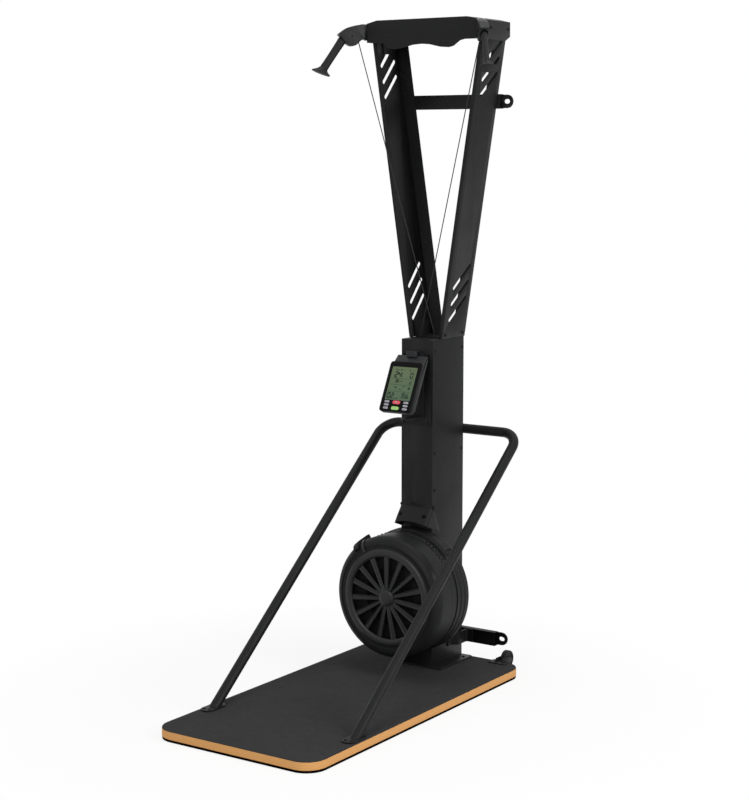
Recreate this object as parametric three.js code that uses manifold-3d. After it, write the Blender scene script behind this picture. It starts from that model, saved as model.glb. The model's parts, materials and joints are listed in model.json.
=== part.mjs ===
// A standing ski trainer: a platform, a sheet-metal column, two splayed arms, a head with two
// corded pull handles, a brushless air fan in a round housing, a console and a floor hoop.
// Millimetres, +Z up, -Y towards the user, +Y towards the wall, +X to the user's right.
// The origin is the middle of the platform's underside.
import * as THREE from "three";
import { mergeVertices } from "three/addons/utils/BufferGeometryUtils.js";
import Module from "manifold-3d";

const wasm = await Module();
wasm.setup();

// Clearances and finishes shared by all pieces
const SEAT_GAP = 0.3;
const RUNNING_GAP = 0.6;
const CUT_OVERRUN = 4;
const MERGE_DISTANCE = 0.0002;
const FINE_SIDES = 40;
const ROUND_SIDES = 16;
const SMALL_SIDES = 12;
const CORNER_STEPS = 4;
const ARC_STEPS = 1;

// Platform
const PLATFORM_WIDTH = 600;
const PLATFORM_LENGTH = 1215;
const PLATFORM_CORNER_RADIUS = 68;
const BASE_PAD_THICKNESS = 7.7;
const BASE_PAD_INSET = 6;
const BOARD_THICKNESS = 24.2;
const MAT_THICKNESS = 2.3;
const MAT_INSET = 1;

const BOARD_BOTTOM = BASE_PAD_THICKNESS + SEAT_GAP;
const MAT_BOTTOM = BOARD_BOTTOM + BOARD_THICKNESS + SEAT_GAP;
const PLATFORM_TOP = MAT_BOTTOM + MAT_THICKNESS;

// Column
const COLUMN_WIDTH = 122.6;
const COLUMN_DEPTH = 194.8;
const COLUMN_HEIGHT = 1107;
const COLUMN_SHEET = 3;
const COLUMN_BACK_SETBACK = 13.5;
const BASE_PLATE_WIDTH = 204;
const BASE_PLATE_MARGIN = 5;
const BASE_PLATE_THICKNESS = 5;
const BASE_PLATE_CORNER = 6;
const BACK_COVER_FLANGE = 24;
const CAP_THICKNESS = 3;
const CORD_SLOT_LENGTH = 26;
const CORD_SLOT_WIDTH = 14;

const COLUMN_BACK_Y = PLATFORM_LENGTH / 2 - COLUMN_BACK_SETBACK;
const COLUMN_FRONT_Y = COLUMN_BACK_Y - COLUMN_DEPTH;
const BASE_PLATE_BOTTOM = PLATFORM_TOP + SEAT_GAP;
const COLUMN_FOOT = BASE_PLATE_BOTTOM + BASE_PLATE_THICKNESS + SEAT_GAP;
const COLUMN_TOP = COLUMN_FOOT + COLUMN_HEIGHT;

// Arms: two mirrored channels that lean outward
const ARM_SHEET = 3;
const ARM_DEPTH = 143.5;
const ARM_HEIGHT = 970;
const ARM_FRONT_LIP = 14;
const ARM_BACK_FLANGE = 47;
const ARM_TOP_HALF_WIDTH = 213;
const ARM_SLOT_ROWS_SHARE = [
  [0.1, 0.155, 0.21],
  [0.858, 0.909, 0.964],
];
const ARM_SLOT_DEPTH = 90;
const ARM_SLOT_HEIGHT = 80;
const ARM_SLOT_WIDTH = 13;
const ARM_TIE_SHEET = 3;
const ARM_TIE_HEIGHT = 52;
const ARM_TIE_DEPTH = 100;
const ARM_TIE_BACK_GAP = 10;

const ARM_FOOT = COLUMN_TOP + SEAT_GAP;
const ARM_TOP = ARM_FOOT + ARM_HEIGHT;
const ARM_FOOT_HALF_WIDTH = COLUMN_WIDTH / 2 + ARM_SHEET;
const ARM_LEAN = (ARM_TOP_HALF_WIDTH - ARM_FOOT_HALF_WIDTH) / ARM_HEIGHT;
const ARM_BACK_Y = COLUMN_BACK_Y;
const ARM_FRONT_Y = ARM_BACK_Y - ARM_DEPTH;

// Head
const HEAD_SIDE_INSET = 1;
const HEAD_SHEET = 3;
const HEAD_OVERHANG = 36.5;
const HEAD_DEPTH = 211;
const HEAD_MIDDLE_HEIGHT = 74;
const HEAD_CROWN_INSET = 38;
const HEAD_SHOULDER_DROP = 9;
const HEAD_BACK_LIFT = 15;
const FASCIA_DIP = 24;
const FASCIA_DIP_INSET = 46;
const FASCIA_DIP_SLOPE = 59;
const FASCIA_ARCH_RISE = 14;
const HEAD_TAB_DEPTH = 84;
const HEAD_TAB_DROP = 30;
const HEAD_TAB_LAP = 26;
const HEAD_TAB_FRONT_GAP = 52;
const HEAD_CORNER_REACH = 32;

const HEAD_HALF_WIDTH = ARM_TOP_HALF_WIDTH - HEAD_SIDE_INSET;
const HEAD_CROWN_HALF_WIDTH = HEAD_HALF_WIDTH - HEAD_CROWN_INSET;
const HEAD_FRONT_Y = ARM_FRONT_Y - HEAD_OVERHANG;
const FASCIA_DIP_START = HEAD_HALF_WIDTH - FASCIA_DIP_INSET;
const FASCIA_DIP_HALF_SPAN = FASCIA_DIP_START - FASCIA_DIP_SLOPE;
const HEAD_BOTTOM = ARM_TOP + HEAD_SHEET;
const HEAD_TOP = HEAD_BOTTOM + HEAD_MIDDLE_HEIGHT - HEAD_SHEET;

// Wall bars and their straps
const BAR_LENGTH = 386;
const BAR_HEIGHT = 47;
const BAR_DEPTH = 24;
const BAR_WALL = 2.5;
const UPPER_BAR_HEIGHT_ON_ARM = 780;
const LOWER_BAR_HEIGHT = 76.2;
const EAR_REACH = 39;
const EAR_LAP = 26;
const EAR_HEIGHT = 44;
const EAR_THICKNESS = 6;
const EAR_SLOT_LENGTH = 23;
const EAR_SLOT_WIDTH = 15;
const STRAP_THICKNESS = 4;
const STRAP_STANDOFF = 18;
const STRAP_TAB = 22;
const STRAP_RAMP = 16;
const STRAP_REACH = 72;
const STRAP_FLANGE = 26;
const STRAP_HEIGHT = 44;

const UPPER_BAR_Z = ARM_FOOT + UPPER_BAR_HEIGHT_ON_ARM;
const LOWER_BAR_Z = PLATFORM_TOP + LOWER_BAR_HEIGHT;
const BAR_FRONT_Y = COLUMN_BACK_Y + SEAT_GAP;

// Support hoop
const HOOP_TUBE_RADIUS = 16.5;
const HOOP_SIDES = 14;
const HOOP_EDGE_DISTANCE = 30;
const HOOP_BEND_RADIUS = 64;
const HOOP_CROSS_HEIGHT = 792.2;
const HOOP_FOOT_FROM_FRONT = 264.5;
const HOOP_FOOT_THICKNESS = 5;
const HOOP_FOOT_WIDTH = 46;
const HOOP_FOOT_LENGTH = 96;
const HOOP_FOOT_SHIFT = 12;
const SADDLE_STRAP = 4;
const SADDLE_WIDTH = 44;
const SADDLE_FLANGE = 26;

const HOOP_HALF_WIDTH = PLATFORM_WIDTH / 2 - HOOP_EDGE_DISTANCE;
const HOOP_CROSS_Z = PLATFORM_TOP + HOOP_CROSS_HEIGHT;
const HOOP_FOOT_Y = HOOP_FOOT_FROM_FRONT - PLATFORM_LENGTH / 2;
const HOOP_CROSS_Y = COLUMN_BACK_Y + SADDLE_STRAP + SEAT_GAP + HOOP_TUBE_RADIUS + SEAT_GAP;
const HOOP_FOOT_Z = PLATFORM_TOP + SEAT_GAP + HOOP_FOOT_THICKNESS + SEAT_GAP;

// Fan and its housing: all turned about the axle, which lies along Y
const FAN_AXIS_HEIGHT = 272.2;
const HOUSING_RADIUS = 205;
const HOUSING_WALL = 3.5;
const FRONT_SHELL_DEPTH = 84;
const VENT_BAND_DEPTH = 34;
const VENT_BAND_STEP = 2;
const VENT_BAND_WALL = 3.5;
const VENT_HOLE_RADIUS = 4.4;
const VENT_HOLE_SIDES = 6;
const VENT_ROW_SHARE = 0.6;
const VENT_HOLE_PITCH_DEG = 5.2;
const VENT_HOLES_EACH_SIDE = 10;
const REAR_SHELL_DEPTH = 64.3;
const REAR_SHELL_STEP = 4;
const GRILLE_EDGE_DISTANCE = 41;
const GRILLE_RING_WIDTH = 26;
const GRILLE_THICKNESS = 7;
const GRILLE_RING_CROWN = 4;
const GRILLE_RING_SHARES = [
  [0, 0],
  [0.125, 0.75],
  [0.5, 1],
  [0.875, 0.75],
  [1, 0],
];
const GRILLE_HUB_RADIUS = 28;
const GRILLE_HUB_SHARES = [
  [0, 1],
  [0.5, 0.875],
  [0.93, 0.5],
  [1, -0.25],
];
const SPOKE_COUNT = 15;
const SPOKE_ROOT_WIDTH = 12;
const SPOKE_TIP_WIDTH = 19;
const SPOKE_DEPTH = 6;
const GROOVE_DISTANCE = 12;
const GROOVE_WIDTH = 8;
const GROOVE_DEPTH = 3;
const SHELL_SHOULDER_RADIUS = 30;
const MESH_THICKNESS = 1.5;
const MESH_WIRE = 4;
const MESH_PITCH = 44;
const MESH_MARGIN = 8;
const WHEEL_SETBACK = 16;
const WHEEL_TIP_CLEARANCE = 33;
const WHEEL_DEPTH = 62;
const WHEEL_PLATE = 3;
const BLADE_COUNT = 20;
const BLADE_THICKNESS = 2;
const BLADE_LENGTH = 76;
const BLADE_LEAN_DEG = 24;
const WHEEL_HUB_RADIUS = 26;
const AXLE_RADIUS = 10;
const BEARING_RADIUS = 21;
const BEARING_WIDTH = 12;
const BEARING_SEAT_WALL = 4;
const DAMPER_WALL = 2.5;
const DAMPER_SPAN_DEG = 84;
const DAMPER_LEVER_DEG = 38;
const DAMPER_LEVER_WIDTH_DEG = 6;
const DAMPER_LEVER_HEIGHT = 20;
const DAMPER_LEVER_FRONT_DEG = 22;
const DAMPER_TRAVEL_DEG = 70;
const DAMPER_NECK = 5;
const DAMPER_DEPTH = 30;
const OUTLET_RISE = 9;
const OUTLET_START_DEG = 24;
const OUTLET_END_DEG = 47;
const OUTLET_EDGE_GAP = 5;
const OUTLET_SLOT_LENGTH = 26;
const OUTLET_SLOT_DEG = 1.5;
const REAR_STEP_SHARE = [
  [0.3, 0],
  [0.33, 0.5],
  [0.62, 0.5],
  [0.66, 1],
];

const FAN_AXIS_Z = PLATFORM_TOP + FAN_AXIS_HEIGHT;
const REAR_SHELL_BACK_Y = COLUMN_FRONT_Y - SEAT_GAP;
const REAR_SHELL_FRONT_Y = REAR_SHELL_BACK_Y - REAR_SHELL_DEPTH;
const SHELL_BACK_Y = REAR_SHELL_FRONT_Y - VENT_BAND_DEPTH - 2 * SEAT_GAP;
const HOUSING_FRONT_Y = SHELL_BACK_Y - FRONT_SHELL_DEPTH;
const VENT_BAND_RADIUS = HOUSING_RADIUS - VENT_BAND_STEP;
const GRILLE_OUTER_RADIUS = HOUSING_RADIUS - GRILLE_EDGE_DISTANCE;
const GRILLE_OPENING_RADIUS = GRILLE_OUTER_RADIUS - GRILLE_RING_WIDTH;
const GROOVE_RADIUS = GRILLE_OUTER_RADIUS + GROOVE_DISTANCE;
const WHEEL_RADIUS = HOUSING_RADIUS - WHEEL_TIP_CLEARANCE;
const BLADE_INNER_RADIUS = WHEEL_RADIUS - BLADE_LENGTH;
const WHEEL_FRONT_Y = HOUSING_FRONT_Y + GRILLE_THICKNESS + WHEEL_SETBACK;
const WHEEL_BACK_Y = WHEEL_FRONT_Y + WHEEL_DEPTH;

// Cord drums inside the column
const DRUM_RADIUS = 34;
const DRUM_FLANGE = 6;
const DRUM_WIDTH = 26;
const DRUM_FLANGE_THICKNESS = 3;
const DRUM_SPACING = 8;
const BEARING_BRIDGE_FLANGE = 18;
const BEARING_BRIDGE_HEIGHT = 90;

const LEFT_DRUM_Y = COLUMN_FRONT_Y + COLUMN_SHEET + BEARING_WIDTH + DRUM_SPACING;
const RIGHT_DRUM_Y = LEFT_DRUM_Y + DRUM_WIDTH + DRUM_SPACING;
const BRIDGE_FRONT_Y = RIGHT_DRUM_Y + DRUM_WIDTH + DRUM_SPACING;

// Collar cover between fan housing and column
const COLLAR_WALL = 3;
const COLLAR_ARC_CLEARANCE = 32;
const COLLAR_ARC_TILT_DEG = 19.8;
const COLLAR_ARC_REACH = 54;
const COLLAR_HEIGHT = 92;
const COLLAR_TOP_HEIGHT = 285;
const COLLAR_CORNER_RADIUS = 18;
const COLLAR_BULGE = 6;
const COLLAR_SLOPE_SHARE = [
  [0, -0.82],
  [0.38, -0.56],
  [0.565, -0.43],
  [0.804, -0.24],
  [0.93, -0.13],
  [1, 0.01],
];
const COLLAR_BACK_REACH = 44;

const COLLAR_ARC_RADIUS = HOUSING_RADIUS + COLLAR_ARC_CLEARANCE;
const COLLAR_TOP_Z = FAN_AXIS_Z + COLLAR_TOP_HEIGHT;

// Console
const CONSOLE_WIDTH = 122;
const CONSOLE_FACE_HEIGHT = 168;
const CONSOLE_TILT_DEG = 25.8;
const CONSOLE_REACH = 102.7;
const CONSOLE_DROP = 150.9;
const BEZEL_THICKNESS = 6;
const BEZEL_CORNER = 9;
const BEZEL_BEVEL = 1.5;
const SHELL_DEPTH = 29;
const SHELL_INSET = 2;
const SHELL_ROOF_REACH = 25;
const SHELL_ROOF_HEIGHT = 38;
const SHELL_CHIN = 12;
const SHELL_BEVEL = 4;
const SCREEN_WIDTH = 98;
const SCREEN_HEIGHT = 116;
const SCREEN_CENTRE_ABOVE = 16;
const SCREEN_RECESS = 1.2;
const KEY_TRAVEL = 1;
const KEY_PROUD = 1.6;
const SIDE_KEY_LENGTH = 18;
const SIDE_KEY_WIDTH = 7;
const SIDE_KEY_OFFSET = 37;
const SIDE_KEY_PITCH = 11;
const SIDE_KEY_TOP_BELOW = 49;
const PILL_KEY_LENGTH = 25;
const PILL_KEY_WIDTH = 10;
const PILL_KEY_PITCH = 20;
const PILL_KEY_TOP_BELOW = 50;
const PIVOT_RADIUS = 5;
const PIVOT_BEHIND_SHELL = 14;
const PIVOT_ABOVE_CENTRE = 32;
const LUG_THICKNESS = 8;
const LUG_RADIUS = 11;
const LUG_HALF_SPAN = 17;
const MOUNT_PLATE_WIDTH = 114;
const MOUNT_PLATE_HEIGHT = 245;
const MOUNT_PLATE_THICKNESS = 3.5;
const MOUNT_PLATE_BELOW_COLUMN_TOP = 41;
const BRACKET_BASE_THICKNESS = 5;
const BRACKET_BASE_WIDTH = 62;
const BRACKET_BASE_HEIGHT = 100;
const BRACKET_BASE_DROP = 118;
const BRACKET_TAB_WIDTH = 44;
const BRACKET_TAB_DEPTH = 5;
const BRACKET_TAB_HEIGHT = 12;
const BRACKET_EAR_THICKNESS = 5;
const BRACKET_EAR_RADIUS = 13;
const BRACKET_TONGUE_REACH = 72;
const BRACKET_TONGUE_WIDTH = 42;
const BRACKET_TONGUE_THICKNESS = 5;

const CONSOLE_FACE_Y = COLUMN_FRONT_Y - CONSOLE_REACH;
const CONSOLE_FACE_Z = COLUMN_TOP - CONSOLE_DROP;

// Hoods, pulleys and pull handles at the head's front corners
const HOOD_SPLAY_DEG = 40;
const HOOD_ROOT_OFFSET = 12;
const HOOD_ROOT_SETBACK = 2;
const HOOD_ROOT_HEIGHT = 37.3;
const HOOD_WIDTH = 30;
const HOOD_WALL = 3;
const HOOD_LENGTH = 90;
const HOOD_HEIGHT = 50;
const HOOD_FLANGE_THICKNESS = 6;
const HOOD_FLANGE_MARGIN = 4;
const HOOD_OUTLINE_SHARE = [
  [0, -0.53],
  [0.14, -0.58],
  [0.3, -0.85],
  [0.44, -0.965],
  [0.58, -0.95],
  [0.74, -0.76],
  [1, -0.25],
  [0.985, -0.18],
  [0.79, 0.08],
  [0.66, 0.21],
  [0.5, 0.31],
  [0.34, 0.38],
  [0.12, 0.44],
  [0, 0.46],
];
const PULLEY_RADIUS = 20;
const PULLEY_RIM = 3.5;
const PULLEY_WIDTH = 12;
const PULLEY_ALONG = 44;
const PULLEY_BELOW = 16;
const PULLEY_AXLE_RADIUS = 4;
const CORD_RADIUS = 1.7;
const CORD_ENTRY_X = 33;
const CORD_ENTRY_SETBACK = 65.8;
const CORD_ENTRY_SPREAD = 3.5;
const CORD_WAY_START = 15;
const GRIP_TILT_DEG = 34.3;
const GRIP_START = 26;
const GRIP_LENGTH = 134;
const GRIP_DEPTH = 28;
const GRIP_WIDTH = 18;
const MOUTH_CLEARANCE = 1.75;
const GRIP_TAPER_SHARE = [
  [0, 0.93, 0.93],
  [0.05, 1.04, 1.05],
  [0.12, 1.0, 1.0],
  [0.45, 0.95, 0.97],
  [0.8, 0.97, 1.02],
  [0.875, 1.12, 1.3],
  [0.93, 1.62, 2.1],
  [0.965, 2.3, 3.0],
  [0.985, 2.48, 3.22],
  [1, 2.44, 3.16],
];

const HOOD_ROOT_X = HEAD_HALF_WIDTH + HOOD_ROOT_OFFSET;
const HOOD_ROOT_Y = HEAD_FRONT_Y + HOOD_ROOT_SETBACK;
const HOOD_ROOT_Z = HEAD_BOTTOM + HOOD_ROOT_HEIGHT;
const CORD_ENTRY_Y = COLUMN_FRONT_Y + CORD_ENTRY_SETBACK;

// Transport wheels behind the platform
const CASTER_RADIUS = 30;
const CASTER_WIDTH = 21;
const CASTER_EDGE_DISTANCE = 84;
const CASTER_FLOOR_CLEARANCE = 6;
const CASTER_BACK_GAP = 2;
const CASTER_AXLE_RADIUS = 5;
const CASTER_CHEEK = 3;
const CASTER_PLATE_LENGTH = 40;
const CASTER_PLATE_WIDTH = 66;
const CASTER_PLATE_THICKNESS = 3;
const CASTER_EYE_RADIUS = 11;

const CASTER_CENTRE_X = PLATFORM_WIDTH / 2 - CASTER_EDGE_DISTANCE;
const CASTER_CENTRE_Z = CASTER_RADIUS + CASTER_FLOOR_CLEARANCE;

// Materials
const darkSteel = paint(0x1b1c1e, 0.55, 0.35);
const blackPlastic = paint(0x161719, 0.6, 0);
const hoodPlastic = paint(0x1d1e20, 0.42, 0);
const rubber = paint(0x111213, 0.85, 0);
const plywood = paint(0xd0a05c, 0.6, 0);
const matTop = paint(0x1a1a1b, 0.8, 0);
const brightSteel = paint(0xa9adb1, 0.3, 0.9);
const zincSteel = paint(0x6d7073, 0.45, 0.8);
const cordBlack = paint(0x141414, 0.9, 0);
const screenGlass = paint(0x77857a, 0.2, 0);
const keyWhite = paint(0xd9dadb, 0.5, 0);
const keyRed = paint(0xd23434, 0.5, 0);
const keyGreen = paint(0x39a34c, 0.5, 0);

function paint(color, roughness, metalness) {
  return () => new THREE.MeshStandardMaterial({ color, roughness, metalness });
}

// Solids, joins and cuts
function signedVolume(positions, indices) {
  const a = new THREE.Vector3();
  const b = new THREE.Vector3();
  const c = new THREE.Vector3();
  let sum = 0;
  for (let i = 0; i < indices.length; i += 3) {
    a.fromArray(positions, 3 * indices[i]);
    b.fromArray(positions, 3 * indices[i + 1]);
    c.fromArray(positions, 3 * indices[i + 2]);
    sum += a.dot(b.cross(c));
  }
  return sum;
}

function solidOf(shape) {
  if (!shape.isBufferGeometry) return shape;
  const loose = shape.index ? shape.toNonIndexed() : shape;
  const bare = new THREE.BufferGeometry().setAttribute("position", loose.getAttribute("position"));
  const merged = mergeVertices(bare, MERGE_DISTANCE);
  const positions = merged.getAttribute("position").array;
  const corners = [];
  for (let i = 0; i < merged.index.count; i += 3) {
    const [a, b, c] = [0, 1, 2].map((k) => merged.index.getX(i + k));
    if (a !== b && b !== c && c !== a) corners.push(a, b, c);
  }
  if (signedVolume(positions, corners) < 0) corners.reverse();
  const mesh = new wasm.Mesh({
    numProp: 3,
    vertProperties: positions,
    triVerts: new Uint32Array(corners),
  });
  return new wasm.Manifold(mesh);
}

function join(...shapes) {
  return shapes.map(solidOf).reduce((all, next) => all.add(next));
}

function cut(body, ...tools) {
  return tools.map(solidOf).reduce((left, tool) => left.subtract(tool), solidOf(body));
}

function common(a, b) {
  return solidOf(a).intersect(solidOf(b));
}

function geometryOf(solid) {
  const mesh = solid.getMesh();
  const indexed = new THREE.BufferGeometry();
  indexed.setAttribute("position", new THREE.BufferAttribute(mesh.vertProperties, 3));
  indexed.setIndex(new THREE.BufferAttribute(mesh.triVerts, 1));
  const flat = indexed.toNonIndexed();
  flat.computeVertexNormals();
  return flat;
}

function piece(name, shape, material) {
  const mesh = new THREE.Mesh(geometryOf(solidOf(shape)), material());
  mesh.name = name;
  return mesh;
}

function group(...children) {
  const made = new THREE.Group();
  made.add(...children);
  return made;
}

// Outlines
function outline(points) {
  return new THREE.Shape(points.map(([x, y]) => new THREE.Vector2(x, y)));
}

function roundedRectangle(width, height, radius) {
  const shape = new THREE.Shape();
  const x = width / 2 - radius;
  const y = height / 2 - radius;
  shape.absarc(x, y, radius, 0, Math.PI / 2);
  shape.absarc(-x, y, radius, Math.PI / 2, Math.PI);
  shape.absarc(-x, -y, radius, Math.PI, 1.5 * Math.PI);
  shape.absarc(x, -y, radius, 1.5 * Math.PI, 2 * Math.PI);
  shape.closePath();
  return shape;
}

function stadium(length, width) {
  return roundedRectangle(length, width, width / 2);
}

// Extrusions: the outline's two axes are named first, the direction of the pull last
function pull(shape, depth, basis, steps = ARC_STEPS) {
  const geometry = new THREE.ExtrudeGeometry(shape, {
    depth,
    bevelEnabled: false,
    curveSegments: steps,
  });
  return geometry.applyMatrix4(basis);
}

const UP = new THREE.Matrix4();
const BACK = new THREE.Matrix4().makeBasis(
  new THREE.Vector3(1, 0, 0),
  new THREE.Vector3(0, 0, 1),
  new THREE.Vector3(0, 1, 0),
);
const ACROSS = new THREE.Matrix4().makeBasis(
  new THREE.Vector3(0, 1, 0),
  new THREE.Vector3(0, 0, 1),
  new THREE.Vector3(1, 0, 0),
);

function pullUp(shape, from, to, steps) {
  return pull(shape, to - from, UP, steps).translate(0, 0, from);
}

function pullBack(shape, from, to, steps) {
  return pull(shape, to - from, BACK, steps).translate(0, from, 0);
}

function pullAcross(shape, from, to, steps) {
  return pull(shape, to - from, ACROSS, steps).translate(from, 0, 0);
}

function block([x0, x1], [y0, y1], [z0, z1]) {
  const geometry = new THREE.BoxGeometry(x1 - x0, y1 - y0, z1 - z0);
  return geometry.translate((x0 + x1) / 2, (y0 + y1) / 2, (z0 + z1) / 2);
}

// A round bar along Y from one place to another, about the line x = 0, z = 0
function barAlongY(radius, from, to, sides = ROUND_SIDES) {
  return new THREE.CylinderGeometry(radius, radius, to - from, sides).translate(0, (from + to) / 2, 0);
}

function barAlongX(radius, from, to, sides = ROUND_SIDES) {
  const geometry = new THREE.CylinderGeometry(radius, radius, to - from, sides);
  return geometry.rotateZ(Math.PI / 2).translate((from + to) / 2, 0, 0);
}

// A profile of [radius, y] points turned about the Y axis; it closes on itself
function turned(profile, sides = FINE_SIDES) {
  const closed = [...profile, profile[0]];
  const points = closed.map(([radius, y]) => new THREE.Vector2(radius, y));
  return new THREE.LatheGeometry(points, sides);
}

function ringAboutY(inner, outer, from, to, sides) {
  const profile = [
    [inner, from],
    [outer, from],
    [outer, to],
    [inner, to],
  ];
  return turned(profile, sides);
}

// A part of a ring about the Y axis, between two angles from the top, clockwise seen from the front
function sectorAboutY(inner, outer, from, to, startDeg, endDeg, steps = SMALL_SIDES) {
  const shape = new THREE.Shape();
  const start = Math.PI / 2 - THREE.MathUtils.degToRad(startDeg);
  const end = Math.PI / 2 - THREE.MathUtils.degToRad(endDeg);
  shape.absarc(0, 0, outer, start, end, true);
  shape.absarc(0, 0, inner, end, start, false);
  shape.closePath();
  return pullBack(shape, from, to, steps);
}

// A surface through rings with the same number of points, closed by its two end faces
function loft(rings) {
  const count = rings[0].length;
  const positions = rings.flat().flatMap((point) => [point.x, point.y, point.z]);
  const indices = [];
  for (let row = 0; row + 1 < rings.length; row += 1) {
    for (let k = 0; k < count; k += 1) {
      const next = (k + 1) % count;
      const [a, b] = [row * count + k, row * count + next];
      const [c, d] = [a + count, b + count];
      indices.push(a, b, d, a, d, c);
    }
  }
  const flat = rings[0].map((point) => new THREE.Vector2(point.x, point.y));
  const last = (rings.length - 1) * count;
  for (const [a, b, c] of THREE.ShapeUtils.triangulateShape(flat, [])) {
    indices.push(c, b, a, last + a, last + b, last + c);
  }
  const geometry = new THREE.BufferGeometry();
  geometry.setAttribute("position", new THREE.Float32BufferAttribute(positions, 3));
  geometry.setIndex(indices);
  return geometry;
}

// A path through given points, with a step at each of them
class SteppedPath extends THREE.Curve {
  constructor(points) {
    super();
    this.points = points;
  }

  getPoint(share) {
    const place = share * (this.points.length - 1);
    const index = Math.min(Math.floor(place + Number.EPSILON * place), this.points.length - 2);
    return this.points[index].clone().lerp(this.points[index + 1], place - index);
  }

  getPointAt(share) {
    return this.getPoint(share);
  }

  getTangentAt(share) {
    const last = this.points.length - 1;
    const index = Math.round(share * last);
    const before = this.points[Math.max(index - 1, 0)];
    const here = this.points[index];
    const after = this.points[Math.min(index + 1, last)];
    const into = here.clone().sub(before).normalize();
    const out = after.clone().sub(here).normalize();
    return into.add(out).normalize();
  }
}

function tubeThrough(points, radius, sides) {
  const section = outline(
    Array.from({ length: sides }, (unused, k) => {
      const angle = (2 * Math.PI * k) / sides;
      return [radius * Math.cos(angle), radius * Math.sin(angle)];
    }),
  );
  return new THREE.ExtrudeGeometry(section, {
    steps: points.length - 1,
    bevelEnabled: false,
    extrudePath: new SteppedPath(points),
  });
}

// Points round a bend of the given radius at a corner between two straight stretches
function bendPoints(before, corner, after, radius, steps) {
  const into = corner.clone().sub(before).normalize();
  const out = after.clone().sub(corner).normalize();
  const turn = into.angleTo(out);
  const cutBack = radius * Math.tan(turn / 2);
  const start = corner.clone().addScaledVector(into, -cutBack);
  const normal = out.clone().addScaledVector(into, -into.dot(out)).normalize();
  const centre = start.clone().addScaledVector(normal, radius);
  return Array.from({ length: steps + 1 }, (unused, k) => {
    const angle = (turn * k) / steps;
    const point = centre.clone().addScaledVector(normal, -radius * Math.cos(angle));
    return point.addScaledVector(into, radius * Math.sin(angle));
  });
}

// Mirror image across the plane x = 0
function mirrored(shape) {
  return solidOf(shape).mirror([1, 0, 0]);
}

function bothSides(baseName, rightShape, material) {
  const right = solidOf(rightShape);
  return [piece(`left_${baseName}`, mirrored(right), material), piece(`right_${baseName}`, right, material)];
}

// Platform
function platform() {
  const layer = (name, inset, bottom, thickness, material) => {
    const shape = roundedRectangle(
      PLATFORM_WIDTH - 2 * inset,
      PLATFORM_LENGTH - 2 * inset,
      PLATFORM_CORNER_RADIUS - inset,
    );
    return piece(name, pullUp(shape, bottom, bottom + thickness, CORNER_STEPS), material);
  };
  return group(
    layer("platform_base_pad", BASE_PAD_INSET, 0, BASE_PAD_THICKNESS, rubber),
    layer("platform_board", 0, BOARD_BOTTOM, BOARD_THICKNESS, plywood),
    layer("platform_top_mat", MAT_INSET, MAT_BOTTOM, MAT_THICKNESS, matTop),
  );
}

// Column
function columnBasePlate() {
  const depth = COLUMN_DEPTH + 2 * BASE_PLATE_MARGIN;
  const shape = roundedRectangle(BASE_PLATE_WIDTH, depth, BASE_PLATE_CORNER);
  const plate = pullUp(shape, BASE_PLATE_BOTTOM, BASE_PLATE_BOTTOM + BASE_PLATE_THICKNESS);
  return piece("column_base_plate", plate.translate(0, (COLUMN_FRONT_Y + COLUMN_BACK_Y) / 2, 0), darkSteel);
}

function columnFrame() {
  const half = COLUMN_WIDTH / 2;
  const inner = half - COLUMN_SHEET;
  const section = outline([
    [-half, COLUMN_FRONT_Y],
    [half, COLUMN_FRONT_Y],
    [half, COLUMN_BACK_Y],
    [inner, COLUMN_BACK_Y],
    [inner, COLUMN_FRONT_Y + COLUMN_SHEET],
    [-inner, COLUMN_FRONT_Y + COLUMN_SHEET],
    [-inner, COLUMN_BACK_Y],
    [-half, COLUMN_BACK_Y],
  ]);
  const seatRadius = BEARING_RADIUS + BEARING_SEAT_WALL;
  const seatBack = COLUMN_FRONT_Y + BEARING_WIDTH + COLUMN_SHEET;
  const seat = barAlongY(seatRadius, COLUMN_FRONT_Y + COLUMN_SHEET / 2, seatBack).translate(0, 0, FAN_AXIS_Z);
  const hole = barAlongY(BEARING_RADIUS + SEAT_GAP, COLUMN_FRONT_Y - CUT_OVERRUN, seatBack + CUT_OVERRUN);
  const shell = join(pullUp(section, COLUMN_FOOT, COLUMN_TOP), seat);
  return piece("column_frame", cut(shell, hole.translate(0, 0, FAN_AXIS_Z)), darkSteel);
}

function columnBackCover() {
  const half = COLUMN_WIDTH / 2 - COLUMN_SHEET - SEAT_GAP;
  const inner = half - COLUMN_SHEET;
  const front = COLUMN_BACK_Y - BACK_COVER_FLANGE;
  const section = outline([
    [-half, front],
    [-inner, front],
    [-inner, COLUMN_BACK_Y - COLUMN_SHEET],
    [inner, COLUMN_BACK_Y - COLUMN_SHEET],
    [inner, front],
    [half, front],
    [half, COLUMN_BACK_Y],
    [-half, COLUMN_BACK_Y],
  ]);
  return piece("column_back_cover", pullUp(section, COLUMN_FOOT, COLUMN_TOP), darkSteel);
}

function columnTopCap() {
  const half = COLUMN_WIDTH / 2 - COLUMN_SHEET - SEAT_GAP;
  const front = COLUMN_FRONT_Y + COLUMN_SHEET + SEAT_GAP;
  const back = COLUMN_BACK_Y - BACK_COVER_FLANGE - SEAT_GAP;
  const bottom = COLUMN_TOP - CAP_THICKNESS;
  const plate = block([-half, half], [front, back], [bottom, COLUMN_TOP]);
  const slots = [-1, 1].map((side) => {
    const shape = stadium(CORD_SLOT_LENGTH, CORD_SLOT_WIDTH);
    const slot = pullUp(shape, bottom - CUT_OVERRUN, COLUMN_TOP + CUT_OVERRUN);
    return slot.translate(side * CORD_ENTRY_X, CORD_ENTRY_Y, 0);
  });
  return piece("column_top_cap", cut(plate, ...slots), darkSteel);
}

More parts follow.
